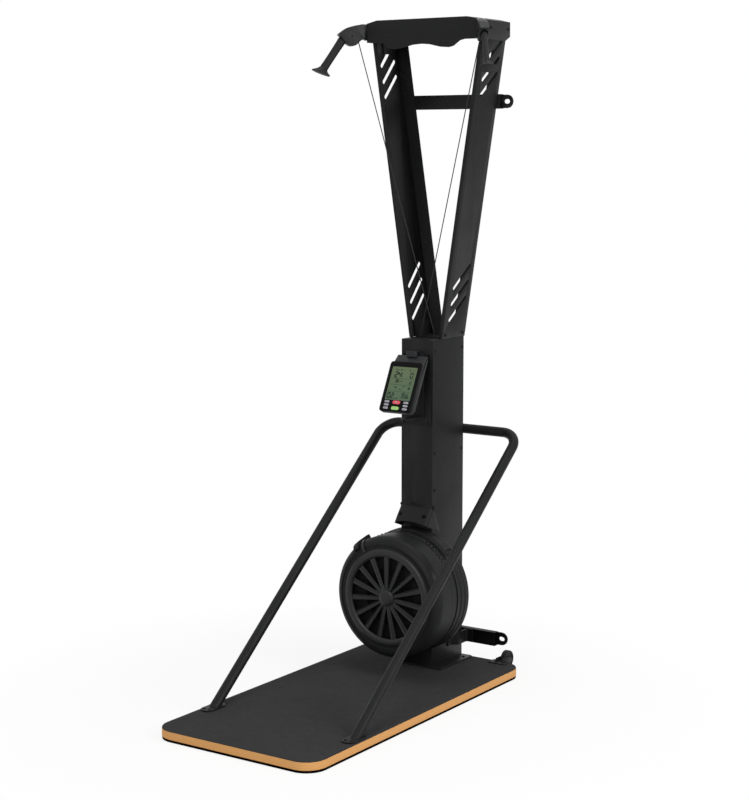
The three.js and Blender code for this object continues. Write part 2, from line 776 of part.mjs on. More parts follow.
// Arms
function leanOutward(geometry) {
  const lean = new THREE.Matrix4().makeShear(0, 0, 0, 0, ARM_LEAN, 0);
  return geometry.translate(0, 0, -ARM_FOOT).applyMatrix4(lean).translate(0, 0, ARM_FOOT);
}

function webInnerFaceX(z) {
  return ARM_FOOT_HALF_WIDTH - ARM_SHEET + ARM_LEAN * (z - ARM_FOOT);
}

function armSlot(heightShare) {
  const length = Math.hypot(ARM_SLOT_DEPTH, ARM_SLOT_HEIGHT);
  const slope = Math.atan2(ARM_SLOT_HEIGHT, ARM_SLOT_DEPTH);
  const slot = pull(stadium(length, ARM_SLOT_WIDTH), ARM_TOP_HALF_WIDTH, UP);
  slot.rotateZ(slope).applyMatrix4(ACROSS);
  const z = ARM_FOOT + heightShare * ARM_HEIGHT;
  return slot.translate(ARM_FOOT_HALF_WIDTH / 2, (ARM_FRONT_Y + ARM_BACK_Y) / 2 + ARM_SHEET / 2, z);
}

function rightArm() {
  const outer = ARM_FOOT_HALF_WIDTH;
  const inner = outer - ARM_SHEET;
  const section = outline([
    [outer, ARM_FRONT_Y],
    [outer, ARM_BACK_Y],
    [outer - ARM_BACK_FLANGE, ARM_BACK_Y],
    [outer - ARM_BACK_FLANGE, ARM_BACK_Y - ARM_SHEET],
    [inner, ARM_BACK_Y - ARM_SHEET],
    [inner, ARM_FRONT_Y + ARM_SHEET],
    [outer - ARM_FRONT_LIP, ARM_FRONT_Y + ARM_SHEET],
    [outer - ARM_FRONT_LIP, ARM_FRONT_Y],
  ]);
  const channel = leanOutward(pullUp(section, ARM_FOOT, ARM_TOP));
  return cut(channel, ...ARM_SLOT_ROWS_SHARE.flat().map(armSlot));
}

function armTie() {
  const back = ARM_BACK_Y - ARM_SHEET - ARM_TIE_BACK_GAP;
  const top = ARM_FOOT + ARM_TIE_HEIGHT;
  const outerAt = (z) => webInnerFaceX(z) - SEAT_GAP;
  const floor = ARM_FOOT + ARM_TIE_SHEET;
  const right = [
    [outerAt(ARM_FOOT), ARM_FOOT],
    [outerAt(top), top],
    [outerAt(top) - ARM_TIE_SHEET, top],
    [outerAt(floor) - ARM_TIE_SHEET, floor],
  ];
  const left = right.map(([x, z]) => [-x, z]).reverse();
  const tie = pullBack(outline([...right, ...left]), back - ARM_TIE_DEPTH, back);
  return piece("arm_tie", tie, darkSteel);
}

// Head: fascia, top plate, side plates and the tabs that reach down inside the arms
function fasciaOutline() {
  const shoulder = HEAD_TOP - HEAD_SHOULDER_DROP;
  const dip = HEAD_BOTTOM - FASCIA_DIP;
  const arch = dip + FASCIA_ARCH_RISE;
  const near = FASCIA_DIP_HALF_SPAN / 2;
  const middle = (FASCIA_DIP_START + FASCIA_DIP_HALF_SPAN) / 2;
  const shape = new THREE.Shape();
  shape.moveTo(-HEAD_HALF_WIDTH, HEAD_BOTTOM);
  shape.lineTo(-FASCIA_DIP_START, HEAD_BOTTOM);
  shape.bezierCurveTo(-middle, HEAD_BOTTOM, -middle, dip, -FASCIA_DIP_HALF_SPAN, dip);
  shape.bezierCurveTo(-near, dip, -near, arch, 0, arch);
  shape.bezierCurveTo(near, arch, near, dip, FASCIA_DIP_HALF_SPAN, dip);
  shape.bezierCurveTo(middle, dip, middle, HEAD_BOTTOM, FASCIA_DIP_START, HEAD_BOTTOM);
  shape.lineTo(HEAD_HALF_WIDTH, HEAD_BOTTOM);
  shape.lineTo(HEAD_HALF_WIDTH, shoulder);
  shape.lineTo(HEAD_CROWN_HALF_WIDTH, HEAD_TOP);
  shape.lineTo(-HEAD_CROWN_HALF_WIDTH, HEAD_TOP);
  shape.lineTo(-HEAD_HALF_WIDTH, shoulder);
  shape.closePath();
  return shape;
}

function headSide() {
  const shoulder = HEAD_TOP - HEAD_SHOULDER_DROP;
  const back = HEAD_FRONT_Y + HEAD_DEPTH;
  const side = outline([
    [HEAD_FRONT_Y, HEAD_BOTTOM],
    [ARM_BACK_Y, HEAD_BOTTOM],
    [back, HEAD_BOTTOM + HEAD_BACK_LIFT],
    [back, shoulder],
    [HEAD_FRONT_Y, shoulder],
  ]);
  return pullAcross(side, HEAD_HALF_WIDTH - HEAD_SHEET, HEAD_HALF_WIDTH);
}

function headRoof() {
  const shoulder = HEAD_TOP - HEAD_SHOULDER_DROP;
  const across = [
    [HEAD_HALF_WIDTH, shoulder],
    [HEAD_CROWN_HALF_WIDTH, HEAD_TOP],
    [-HEAD_CROWN_HALF_WIDTH, HEAD_TOP],
    [-HEAD_HALF_WIDTH, shoulder],
  ];
  const under = across.map(([x, z]) => [x, z - HEAD_SHEET]).reverse();
  return pullBack(outline([...across, ...under]), HEAD_FRONT_Y, HEAD_FRONT_Y + HEAD_DEPTH);
}

function headTab() {
  const low = ARM_TOP - HEAD_TAB_DROP;
  const high = HEAD_BOTTOM + HEAD_TAB_LAP;
  const upperX = HEAD_HALF_WIDTH - HEAD_SHEET / 2;
  const outerAt = (z) => webInnerFaceX(z) - SEAT_GAP;
  const section = outline([
    [upperX - HEAD_SHEET, high],
    [outerAt(ARM_TOP) - HEAD_SHEET, ARM_TOP],
    [outerAt(low) - HEAD_SHEET, low],
    [outerAt(low), low],
    [outerAt(ARM_TOP), ARM_TOP],
    [upperX, HEAD_BOTTOM + SEAT_GAP],
    [upperX, high],
  ]);
  const front = ARM_FRONT_Y + HEAD_TAB_FRONT_GAP;
  return pullBack(section, front, front + HEAD_TAB_DEPTH);
}

// The folded corner that carries the hood's flange, open above and below
function headCorner() {
  const splay = THREE.MathUtils.degToRad(HOOD_SPLAY_DEG);
  const flangeBack = -HOOD_FLANGE_THICKNESS / 2 - SEAT_GAP;
  const ends = [-HOOD_WIDTH / 2, HOOD_WIDTH / 2].map((across) => {
    const point = new THREE.Vector2(flangeBack, across);
    point.rotateAround(new THREE.Vector2(), splay - Math.PI / 2);
    return [HOOD_ROOT_X + point.x, HOOD_ROOT_Y + point.y];
  });
  const plan = [...ends, [HEAD_HALF_WIDTH - HEAD_SHEET, HEAD_FRONT_Y + HEAD_CORNER_REACH]];
  const low = HOOD_ROOT_Z - HOOD_HEIGHT / 2 - HOOD_FLANGE_MARGIN;
  const high = HOOD_ROOT_Z + HOOD_HEIGHT / 2 - HOOD_FLANGE_MARGIN / 2;
  const solid = pullUp(outline(plan), low, high);
  return cut(solid, pullUp(outline(inset(plan, HEAD_SHEET)), low - CUT_OVERRUN, high + CUT_OVERRUN));
}

function headBracket() {
  const fascia = pullBack(fasciaOutline(), HEAD_FRONT_Y, HEAD_FRONT_Y + HEAD_SHEET, CORNER_STEPS);
  const right = join(headSide(), headTab(), headCorner());
  return piece("head_bracket", join(fascia, headRoof(), right, mirrored(right)), darkSteel);
}

// Wall bars
function wallBar(name, z) {
  const end = BAR_LENGTH / 2;
  const back = BAR_FRONT_Y + BAR_DEPTH;
  const low = z - BAR_HEIGHT / 2;
  const high = z + BAR_HEIGHT / 2;
  const tube = block([-end, end], [BAR_FRONT_Y, back], [low, high]);
  const bore = block(
    [-end - CUT_OVERRUN, end + CUT_OVERRUN],
    [BAR_FRONT_Y + BAR_WALL, back - EAR_THICKNESS],
    [low + BAR_WALL, high - BAR_WALL],
  );
  const earLength = EAR_REACH + EAR_LAP;
  const ear = new THREE.Shape();
  const tipCentre = end + EAR_REACH - EAR_HEIGHT / 2;
  ear.moveTo(end + EAR_REACH - earLength, -EAR_HEIGHT / 2);
  ear.lineTo(tipCentre, -EAR_HEIGHT / 2);
  ear.absarc(tipCentre, 0, EAR_HEIGHT / 2, -Math.PI / 2, Math.PI / 2);
  ear.lineTo(end + EAR_REACH - earLength, EAR_HEIGHT / 2);
  ear.closePath();
  const ears = [-1, 1].map((side) => {
    const plate = pullBack(ear, back - EAR_THICKNESS, back, CORNER_STEPS).translate(0, 0, z);
    return side > 0 ? plate : mirrored(plate);
  });
  const slots = [-1, 1].map((side) => {
    const slot = pullBack(stadium(EAR_SLOT_LENGTH, EAR_SLOT_WIDTH), BAR_FRONT_Y, back + CUT_OVERRUN);
    return slot.translate(side * tipCentre, 0, z);
  });
  return piece(name, cut(join(cut(tube, bore), ...ears), ...slots), darkSteel);
}

function rightWallStrap() {
  const near = COLUMN_WIDTH / 2 + SEAT_GAP;
  const far = near + STRAP_STANDOFF;
  const back = COLUMN_BACK_Y;
  const front = back - STRAP_REACH - STRAP_TAB;
  const rampEnd = front + STRAP_TAB + STRAP_RAMP;
  const section = outline([
    [near, front],
    [near + STRAP_THICKNESS, front],
    [near + STRAP_THICKNESS, front + STRAP_TAB],
    [far + STRAP_THICKNESS, rampEnd],
    [far + STRAP_THICKNESS, back - STRAP_THICKNESS],
    [far + STRAP_FLANGE, back - STRAP_THICKNESS],
    [far + STRAP_FLANGE, back],
    [far, back],
    [far, rampEnd],
    [near, front + STRAP_TAB],
  ]);
  return pullUp(section, LOWER_BAR_Z - STRAP_HEIGHT / 2, LOWER_BAR_Z + STRAP_HEIGHT / 2);
}

// Support hoop: one bent tube from foot to foot, behind the column
function supportHoop() {
  const foot = new THREE.Vector3(HOOP_HALF_WIDTH, HOOP_FOOT_Y, HOOP_FOOT_Z);
  const corner = new THREE.Vector3(HOOP_HALF_WIDTH, HOOP_CROSS_Y, HOOP_CROSS_Z);
  const middle = new THREE.Vector3(0, HOOP_CROSS_Y, HOOP_CROSS_Z);
  const along = corner.clone().sub(foot).normalize();
  const start = foot.clone().addScaledVector(along, -2 * HOOP_TUBE_RADIUS);
  const right = [start, ...bendPoints(foot, corner, middle, HOOP_BEND_RADIUS, CORNER_STEPS + 1)];
  const left = right.map((point) => new THREE.Vector3(-point.x, point.y, point.z)).reverse();
  const tube = tubeThrough([...right, ...left], HOOP_TUBE_RADIUS, HOOP_SIDES);
  const below = block(
    [-2 * HOOP_HALF_WIDTH, 2 * HOOP_HALF_WIDTH],
    [HOOP_FOOT_Y - HOOP_FOOT_LENGTH, HOOP_FOOT_Y + HOOP_FOOT_LENGTH],
    [-HOOP_FOOT_Z, HOOP_FOOT_Z],
  );
  return piece("support_hoop", cut(tube, below), darkSteel);
}

function rightHoopFoot() {
  const bottom = PLATFORM_TOP + SEAT_GAP;
  const shape = stadium(HOOP_FOOT_LENGTH, HOOP_FOOT_WIDTH);
  const plate = pullUp(shape, bottom, bottom + HOOP_FOOT_THICKNESS, CORNER_STEPS);
  return plate.rotateZ(Math.PI / 2).translate(HOOP_HALF_WIDTH, HOOP_FOOT_Y - HOOP_FOOT_SHIFT, 0);
}

function hoopSaddle() {
  const seat = COLUMN_BACK_Y + SEAT_GAP;
  const inner = HOOP_TUBE_RADIUS + SEAT_GAP;
  const outer = inner + SADDLE_STRAP;
  const reach = outer + SADDLE_FLANGE;
  const half = SADDLE_WIDTH / 2;
  const place = (geometry) => geometry.translate(0, HOOP_CROSS_Y, HOOP_CROSS_Z);
  const band = place(barAlongX(outer, -half, half, 2 * SMALL_SIDES));
  const rise = [HOOP_CROSS_Z - reach, HOOP_CROSS_Z + reach];
  const flange = block([-half, half], [seat, seat + SADDLE_STRAP], rise);
  const bore = place(barAlongX(inner, -half - CUT_OVERRUN, half + CUT_OVERRUN, 2 * SMALL_SIDES));
  const wall = block([-reach, reach], [seat - reach, seat], rise);
  return piece("hoop_saddle", cut(join(band, flange), bore, wall), darkSteel);
}

// Fan housing
function shoulderArc(radius, startDeg, endDeg, steps) {
  const centreRadius = HOUSING_RADIUS - SHELL_SHOULDER_RADIUS;
  const centreY = HOUSING_FRONT_Y + SHELL_SHOULDER_RADIUS;
  return Array.from({ length: steps + 1 }, (unused, k) => {
    const angle = THREE.MathUtils.degToRad(startDeg + ((endDeg - startDeg) * k) / steps);
    return [centreRadius + radius * Math.sin(angle), centreY - radius * Math.cos(angle)];
  });
}

function frontHousing() {
  const mouth = GRILLE_OUTER_RADIUS + SEAT_GAP;
  const grooveInner = GROOVE_RADIUS - GROOVE_WIDTH / 2;
  const grooveOuter = GROOVE_RADIUS + GROOVE_WIDTH / 2;
  const innerFront = HOUSING_FRONT_Y + GROOVE_DEPTH + HOUSING_WALL;
  const startDeg = THREE.MathUtils.radToDeg(
    Math.asin((grooveOuter - HOUSING_RADIUS + SHELL_SHOULDER_RADIUS) / SHELL_SHOULDER_RADIUS),
  );
  const profile = [
    [mouth, HOUSING_FRONT_Y],
    [grooveInner, HOUSING_FRONT_Y],
    [grooveInner, HOUSING_FRONT_Y + GROOVE_DEPTH],
    [grooveOuter, HOUSING_FRONT_Y + GROOVE_DEPTH],
    ...shoulderArc(SHELL_SHOULDER_RADIUS, startDeg, 90, CORNER_STEPS),
    [HOUSING_RADIUS, SHELL_BACK_Y],
    [HOUSING_RADIUS - HOUSING_WALL, SHELL_BACK_Y],
    ...shoulderArc(SHELL_SHOULDER_RADIUS - HOUSING_WALL, 90, 2 * startDeg, 2 * ARC_STEPS),
    [grooveOuter, innerFront],
    [mouth, innerFront],
  ];
  return piece("fan_front_housing", turned(profile), blackPlastic);
}

function ventBand() {
  const inner = VENT_BAND_RADIUS - VENT_BAND_WALL;
  const from = SHELL_BACK_Y + SEAT_GAP;
  const to = from + VENT_BAND_DEPTH;
  const band = ringAboutY(inner, VENT_BAND_RADIUS, from, to);
  const holeY = from + VENT_ROW_SHARE * VENT_BAND_DEPTH;
  const drill = 2 * VENT_BAND_WALL + CUT_OVERRUN;
  const holes = Array.from({ length: 2 * VENT_HOLES_EACH_SIDE + 1 }, (unused, k) => {
    const angle = THREE.MathUtils.degToRad((k - VENT_HOLES_EACH_SIDE) * VENT_HOLE_PITCH_DEG);
    const hole = new THREE.CylinderGeometry(VENT_HOLE_RADIUS, VENT_HOLE_RADIUS, drill, VENT_HOLE_SIDES);
    return hole.rotateX(Math.PI / 2).translate(0, holeY, VENT_BAND_RADIUS - VENT_BAND_WALL).rotateY(angle);
  });
  const notch = sectorAboutY(
    inner - CUT_OVERRUN,
    VENT_BAND_RADIUS + CUT_OVERRUN,
    from - CUT_OVERRUN,
    from + DAMPER_NECK + 2 * RUNNING_GAP,
    -DAMPER_LEVER_DEG - DAMPER_LEVER_WIDTH_DEG,
    DAMPER_TRAVEL_DEG - DAMPER_LEVER_DEG + DAMPER_LEVER_WIDTH_DEG,
  );
  return piece("fan_vent_band", cut(band, notch, ...holes), blackPlastic);
}

// The damper slides inside the vent band, clear of the flats of the band's inner wall; its lever
// stands out at the upper left, and its flats clear the corners of the front shell as it turns
function damper() {
  const flatShare = Math.cos(Math.PI / FINE_SIDES);
  const outer = (VENT_BAND_RADIUS - VENT_BAND_WALL) * flatShare - RUNNING_GAP;
  const underside = (HOUSING_RADIUS + RUNNING_GAP) / flatShare;
  const underRadius = SHELL_SHOULDER_RADIUS + underside - HOUSING_RADIUS;
  const from = SHELL_BACK_Y + SEAT_GAP + RUNNING_GAP;
  const half = DAMPER_SPAN_DEG / 2;
  const shutter = sectorAboutY(outer - DAMPER_WALL, outer, from, from + DAMPER_DEPTH, -half, half);
  const leverStart = -DAMPER_LEVER_DEG - DAMPER_LEVER_WIDTH_DEG / 2;
  const leverEnd = leverStart + DAMPER_LEVER_WIDTH_DEG;
  const tip = HOUSING_RADIUS + DAMPER_LEVER_HEIGHT;
  const neckBack = from + DAMPER_NECK;
  const neck = sectorAboutY(outer - DAMPER_WALL, tip, from, neckBack, leverStart, leverEnd, ARC_STEPS);
  const under = shoulderArc(underRadius, DAMPER_LEVER_FRONT_DEG, 90, CORNER_STEPS);
  const over = [
    [tip, neckBack],
    [tip, from - DAMPER_NECK],
    ...shoulderArc(SHELL_SHOULDER_RADIUS + DAMPER_LEVER_HEIGHT / 2, 80, DAMPER_LEVER_FRONT_DEG, CORNER_STEPS),
  ];
  const blade = turned([...under, [underside, neckBack], ...over]);
  const wedge = sectorAboutY(0, 2 * tip, HOUSING_FRONT_Y - tip, from + tip, leverStart, leverEnd, ARC_STEPS);
  return piece("damper_lever", join(shutter, neck, common(blade, wedge)), blackPlastic);
}

function rearHousing() {
  const front = REAR_SHELL_FRONT_Y;
  const back = REAR_SHELL_BACK_Y;
  const depth = back - front;
  const wide = HOUSING_RADIUS + REAR_SHELL_STEP;
  const hole = AXLE_RADIUS + HOUSING_WALL;
  const steps = REAR_STEP_SHARE.map(([along, rise]) => {
    return [HOUSING_RADIUS + rise * REAR_SHELL_STEP, front + along * depth];
  });
  const profile = [
    [HOUSING_RADIUS, front],
    ...steps,
    [wide, back - HOUSING_WALL],
    [wide - HOUSING_WALL, back],
    [hole, back],
    [hole, back - HOUSING_WALL],
    [HOUSING_RADIUS - HOUSING_WALL, back - HOUSING_WALL],
    [HOUSING_RADIUS - HOUSING_WALL, front],
  ];
  const outletFront = front + OUTLET_EDGE_GAP;
  const outletBack = back - OUTLET_EDGE_GAP;
  const outlet = sectorAboutY(
    HOUSING_RADIUS - HOUSING_WALL / 2,
    HOUSING_RADIUS + OUTLET_RISE,
    outletFront,
    outletBack,
    OUTLET_START_DEG,
    OUTLET_END_DEG,
    CORNER_STEPS,
  );
  const slotY = (outletFront + outletBack) / 2;
  const slot = sectorAboutY(
    HOUSING_RADIUS + OUTLET_RISE / 2,
    HOUSING_RADIUS + 2 * OUTLET_RISE,
    slotY - OUTLET_SLOT_LENGTH / 2,
    slotY + OUTLET_SLOT_LENGTH / 2,
    OUTLET_END_DEG - 2 * OUTLET_SLOT_DEG,
    OUTLET_END_DEG - OUTLET_SLOT_DEG,
    ARC_STEPS,
  );
  return piece("fan_rear_housing", cut(join(turned(profile), outlet), slot), blackPlastic);
}

function fanGrille() {
  const back = HOUSING_FRONT_Y + GRILLE_THICKNESS;
  const crowned = (start, reach, shares) =>
    shares.map(([across, crown]) => [start + reach * across, HOUSING_FRONT_Y - crown * GRILLE_RING_CROWN]);
  const ring = turned([
    ...crowned(GRILLE_OPENING_RADIUS, GRILLE_RING_WIDTH, GRILLE_RING_SHARES),
    [GRILLE_OUTER_RADIUS, back],
    [GRILLE_OPENING_RADIUS, back],
  ]);
  const hubFront = crowned(0, GRILLE_HUB_RADIUS, GRILLE_HUB_SHARES);
  const hub = turned([...hubFront, [GRILLE_HUB_RADIUS, back], [0, back]], ROUND_SIDES);
  const inner = GRILLE_HUB_RADIUS / 2;
  const outer = GRILLE_OPENING_RADIUS + GRILLE_RING_WIDTH / 4;
  const spokes = Array.from({ length: SPOKE_COUNT }, (unused, k) => {
    const spoke = outline([
      [-SPOKE_ROOT_WIDTH / 2, inner],
      [SPOKE_ROOT_WIDTH / 2, inner],
      [SPOKE_TIP_WIDTH / 2, outer],
      [-SPOKE_TIP_WIDTH / 2, outer],
    ]);
    const bar = pullBack(spoke, HOUSING_FRONT_Y, HOUSING_FRONT_Y + SPOKE_DEPTH);
    return bar.rotateY((2 * Math.PI * k) / SPOKE_COUNT);
  });
  return piece("fan_grille", join(ring, hub, ...spokes), blackPlastic);
}

function fanMesh() {
  const from = HOUSING_FRONT_Y + GRILLE_THICKNESS + SEAT_GAP;
  const to = from + MESH_THICKNESS;
  const radius = GRILLE_OUTER_RADIUS - GRILLE_RING_CROWN;
  const half = (MESH_PITCH - MESH_WIRE) / 2;
  const reach = Math.floor(radius / MESH_PITCH);
  const rows = Array.from({ length: 2 * reach + 1 }, (unused, k) => (k - reach) * MESH_PITCH);
  const places = rows.flatMap((z) => rows.map((x) => [x, z]));
  const cornerReach = ([x, z]) => Math.hypot(Math.abs(x) + half, Math.abs(z) + half);
  const inside = places.filter((place) => cornerReach(place) < radius - MESH_MARGIN);
  const holes = inside.map(([x, z]) =>
    block([x - half, x + half], [from - CUT_OVERRUN, to + CUT_OVERRUN], [z - half, z + half]),
  );
  return piece("fan_mesh", cut(barAlongY(radius, from, to, FINE_SIDES / 2), ...holes), zincSteel);
}

// The fan wheel: hub, back plate, leaning blades and a front shroud ring
function fanWheel() {
  const bore = barAlongY(AXLE_RADIUS + SEAT_GAP, WHEEL_FRONT_Y - CUT_OVERRUN, WHEEL_BACK_Y + CUT_OVERRUN);
  const plate = barAlongY(WHEEL_RADIUS, WHEEL_BACK_Y - WHEEL_PLATE, WHEEL_BACK_Y, FINE_SIDES);
  const hub = barAlongY(WHEEL_HUB_RADIUS, WHEEL_FRONT_Y + WHEEL_PLATE, WHEEL_BACK_Y);
  const shroud = ringAboutY(BLADE_INNER_RADIUS, WHEEL_RADIUS, WHEEL_FRONT_Y, WHEEL_FRONT_Y + WHEEL_PLATE);
  const lean = THREE.MathUtils.degToRad(BLADE_LEAN_DEG);
  const blades = Array.from({ length: BLADE_COUNT }, (unused, k) => {
    const blade = block(
      [-BLADE_THICKNESS / 2, BLADE_THICKNESS / 2],
      [WHEEL_FRONT_Y + WHEEL_PLATE / 2, WHEEL_BACK_Y - WHEEL_PLATE / 2],
      [-BLADE_LENGTH / 2, BLADE_LENGTH / 2],
    );
    blade.rotateY(lean).translate(0, 0, BLADE_INNER_RADIUS + BLADE_LENGTH / 2);
    return blade.rotateY((2 * Math.PI * k) / BLADE_COUNT);
  });
  return piece("fan_wheel", cut(join(plate, hub, shroud, ...blades), bore), blackPlastic);
}

function fanAxle() {
  const front = WHEEL_FRONT_Y + WHEEL_PLATE;
  const back = BRIDGE_FRONT_Y + BEARING_WIDTH + 2 * SEAT_GAP;
  return piece("fan_axle", barAlongY(AXLE_RADIUS, front, back), brightSteel);
}

function bearing(name, front) {
  const inner = AXLE_RADIUS + SEAT_GAP;
  const lip = BEARING_RADIUS - (BEARING_RADIUS - inner) / 3;
  const profile = [
    [inner, front],
    [lip, front],
    [lip, front + SEAT_GAP],
    [BEARING_RADIUS, front + SEAT_GAP],
    [BEARING_RADIUS, front + BEARING_WIDTH],
    [inner, front + BEARING_WIDTH],
  ];
  return piece(name, turned(profile, ROUND_SIDES), brightSteel);
}

function bearingBridge() {
  const half = COLUMN_WIDTH / 2 - COLUMN_SHEET - SEAT_GAP;
  const rise = BEARING_BRIDGE_HEIGHT / 2;
  const front = BRIDGE_FRONT_Y;
  const seatEnd = front + BEARING_WIDTH;
  const plate = block([-half, half], [front, front + COLUMN_SHEET], [-rise, rise]);
  const flanges = [-1, 1].map((side) => {
    const edge = [side * half, side * (half - COLUMN_SHEET)].sort((a, b) => a - b);
    return block(edge, [front, front + BEARING_BRIDGE_FLANGE], [-rise, rise]);
  });
  const seat = barAlongY(BEARING_RADIUS + BEARING_SEAT_WALL, front, seatEnd);
  const hole = barAlongY(BEARING_RADIUS + SEAT_GAP, front - CUT_OVERRUN, seatEnd + CUT_OVERRUN);
  return piece("rear_bearing_bridge", cut(join(plate, seat, ...flanges), hole), zincSteel);
}

function cordDrum(name, front) {
  const back = front + DRUM_WIDTH;
  const rim = DRUM_RADIUS + DRUM_FLANGE;
  const bore = AXLE_RADIUS + SEAT_GAP;
  const profile = [
    [bore, front],
    [rim, front],
    [rim, front + DRUM_FLANGE_THICKNESS],
    [DRUM_RADIUS, front + 2 * DRUM_FLANGE_THICKNESS],
    [DRUM_RADIUS, back - 2 * DRUM_FLANGE_THICKNESS],
    [rim, back - DRUM_FLANGE_THICKNESS],
    [rim, back],
    [bore, back],
  ];
  return piece(name, turned(profile, ROUND_SIDES), blackPlastic);
}

function fan() {
  const made = group(
    frontHousing(),
    ventBand(),
    damper(),
    rearHousing(),
    fanGrille(),
    fanMesh(),
    fanWheel(),
    fanAxle(),
    bearing("front_bearing", COLUMN_FRONT_Y + COLUMN_SHEET / 2),
    bearing("rear_bearing", BRIDGE_FRONT_Y),
    bearingBridge(),
    cordDrum("left_cord_drum", LEFT_DRUM_Y),
    cordDrum("right_cord_drum", RIGHT_DRUM_Y),
  );
  made.position.z = FAN_AXIS_Z;
  return made;
}

// Collar cover: a bulged hood over the gap between fan housing and column
function collarRow(share, depthShare, wall) {
  const half = COLUMN_WIDTH / 2 + SEAT_GAP + COLLAR_WALL - wall;
  const shift = wall / Math.SQRT2;
  const z = COLLAR_TOP_Z - COLLAR_HEIGHT * (1 - share) - shift;
  const front = COLUMN_FRONT_Y + depthShare * COLLAR_HEIGHT + shift;
  const back = COLUMN_FRONT_Y + 2 * COLLAR_BACK_REACH;
  const radius = COLLAR_CORNER_RADIUS;
  const points = [new THREE.Vector3(half, back, z), new THREE.Vector3(-half, back, z)];
  for (let k = 0; k <= CORNER_STEPS; k += 1) {
    const angle = Math.PI + (Math.PI / 2) * (k / CORNER_STEPS);
    const x = -half + radius + radius * Math.cos(angle);
    points.push(new THREE.Vector3(x, front + COLLAR_BULGE + radius + radius * Math.sin(angle), z));
  }
  points.push(new THREE.Vector3(-half / 2, front + COLLAR_BULGE / 4, z));
  points.push(new THREE.Vector3(0, front, z));
  points.push(new THREE.Vector3(half / 2, front + COLLAR_BULGE / 4, z));
  for (let k = 0; k <= CORNER_STEPS; k += 1) {
    const angle = 1.5 * Math.PI + (Math.PI / 2) * (k / CORNER_STEPS);
    const x = half - radius + radius * Math.cos(angle);
    points.push(new THREE.Vector3(x, front + COLLAR_BULGE + radius + radius * Math.sin(angle), z));
  }
  return points;
}

function collarCover() {
  const outer = loft(COLLAR_SLOPE_SHARE.map(([share, depth]) => collarRow(share, depth, 0)));
  const inner = loft(COLLAR_SLOPE_SHARE.map(([share, depth]) => collarRow(share, depth, COLLAR_WALL)));
  const half = COLUMN_WIDTH / 2 + SEAT_GAP;
  const low = COLLAR_TOP_Z - 2 * COLLAR_HEIGHT;
  const high = COLLAR_TOP_Z + COLLAR_HEIGHT;
  const columnSpace = block([-half, half], [COLUMN_FRONT_Y - SEAT_GAP, COLUMN_BACK_Y], [low, high]);
  const tilt = THREE.MathUtils.degToRad(COLLAR_ARC_TILT_DEG);
  const arc = barAlongY(COLLAR_ARC_RADIUS * Math.cos(tilt), -HOUSING_RADIUS, HOUSING_RADIUS, 2 * FINE_SIDES);
  arc.rotateX(-tilt).translate(0, COLUMN_FRONT_Y - COLLAR_ARC_REACH, FAN_AXIS_Z);
  const behind = pullAcross(
    outline([
      [COLUMN_FRONT_Y, COLLAR_TOP_Z],
      [COLUMN_FRONT_Y + COLLAR_BACK_REACH, COLLAR_TOP_Z - COLLAR_HEIGHT],
      [COLUMN_BACK_Y, COLLAR_TOP_Z - COLLAR_HEIGHT],
      [COLUMN_BACK_Y, high],
      [COLUMN_FRONT_Y, high],
    ]),
    -2 * half,
    2 * half,
  );
  return piece("collar_cover", cut(outer, inner, columnSpace, arc, behind), blackPlastic);
}

// Console, in a frame that lies on its face: +Y goes into the case, +Z up along the face
function keyOutlines() {
  const side = (name, sign, row) => ({
    name,
    x: sign * SIDE_KEY_OFFSET,
    z: -SIDE_KEY_TOP_BELOW - row * SIDE_KEY_PITCH,
    length: SIDE_KEY_LENGTH,
    width: SIDE_KEY_WIDTH,
    material: keyWhite,
  });
  const pill = (name, row, material) => ({
    name,
    x: 0,
    z: -PILL_KEY_TOP_BELOW - row * PILL_KEY_PITCH,
    length: PILL_KEY_LENGTH,
    width: PILL_KEY_WIDTH,
    material,
  });
  const rows = ["upper", "middle", "lower"];
  return [
    ...rows.map((row, k) => side(`left_${row}_key`, -1, k)),
    ...rows.map((row, k) => side(`right_${row}_key`, 1, k)),
    pill("stop_key", 0, keyRed),
    pill("start_key", 1, keyGreen),
  ];
}

function consoleKeys() {
  const back = BEZEL_THICKNESS - KEY_TRAVEL;
  return keyOutlines().map((key) => {
    const body = pullBack(stadium(key.length, key.width), -KEY_PROUD, back);
    return piece(key.name, body.translate(key.x, 0, key.z), key.material);
  });
}

// The screen's outline with a gap all round
function screenOutline(gap) {
  return roundedRectangle(SCREEN_WIDTH + 2 * gap, SCREEN_HEIGHT + 2 * gap, BEZEL_BEVEL + gap);
}

function consoleBezel() {
  const face = roundedRectangle(
    CONSOLE_WIDTH - 2 * BEZEL_BEVEL,
    CONSOLE_FACE_HEIGHT - 2 * BEZEL_BEVEL,
    BEZEL_CORNER - BEZEL_BEVEL,
  );
  const body = new THREE.ExtrudeGeometry(face, {
    depth: BEZEL_THICKNESS - 2 * BEZEL_BEVEL,
    bevelThickness: BEZEL_BEVEL,
    bevelSize: BEZEL_BEVEL,
    bevelSegments: 1,
    curveSegments: 2 * ARC_STEPS,
  });
  body.applyMatrix4(BACK).translate(0, BEZEL_BEVEL, 0);
  const deep = BEZEL_THICKNESS + CUT_OVERRUN;
  const opening = pullBack(screenOutline(SEAT_GAP), -CUT_OVERRUN, deep).translate(0, 0, SCREEN_CENTRE_ABOVE);
  const holes = keyOutlines().map((key) => {
    const hole = stadium(key.length + 2 * SEAT_GAP, key.width + 2 * SEAT_GAP);
    return pullBack(hole, -CUT_OVERRUN, deep).translate(key.x, 0, key.z);
  });
  return piece("console_bezel", cut(body, opening, ...holes), blackPlastic);
}

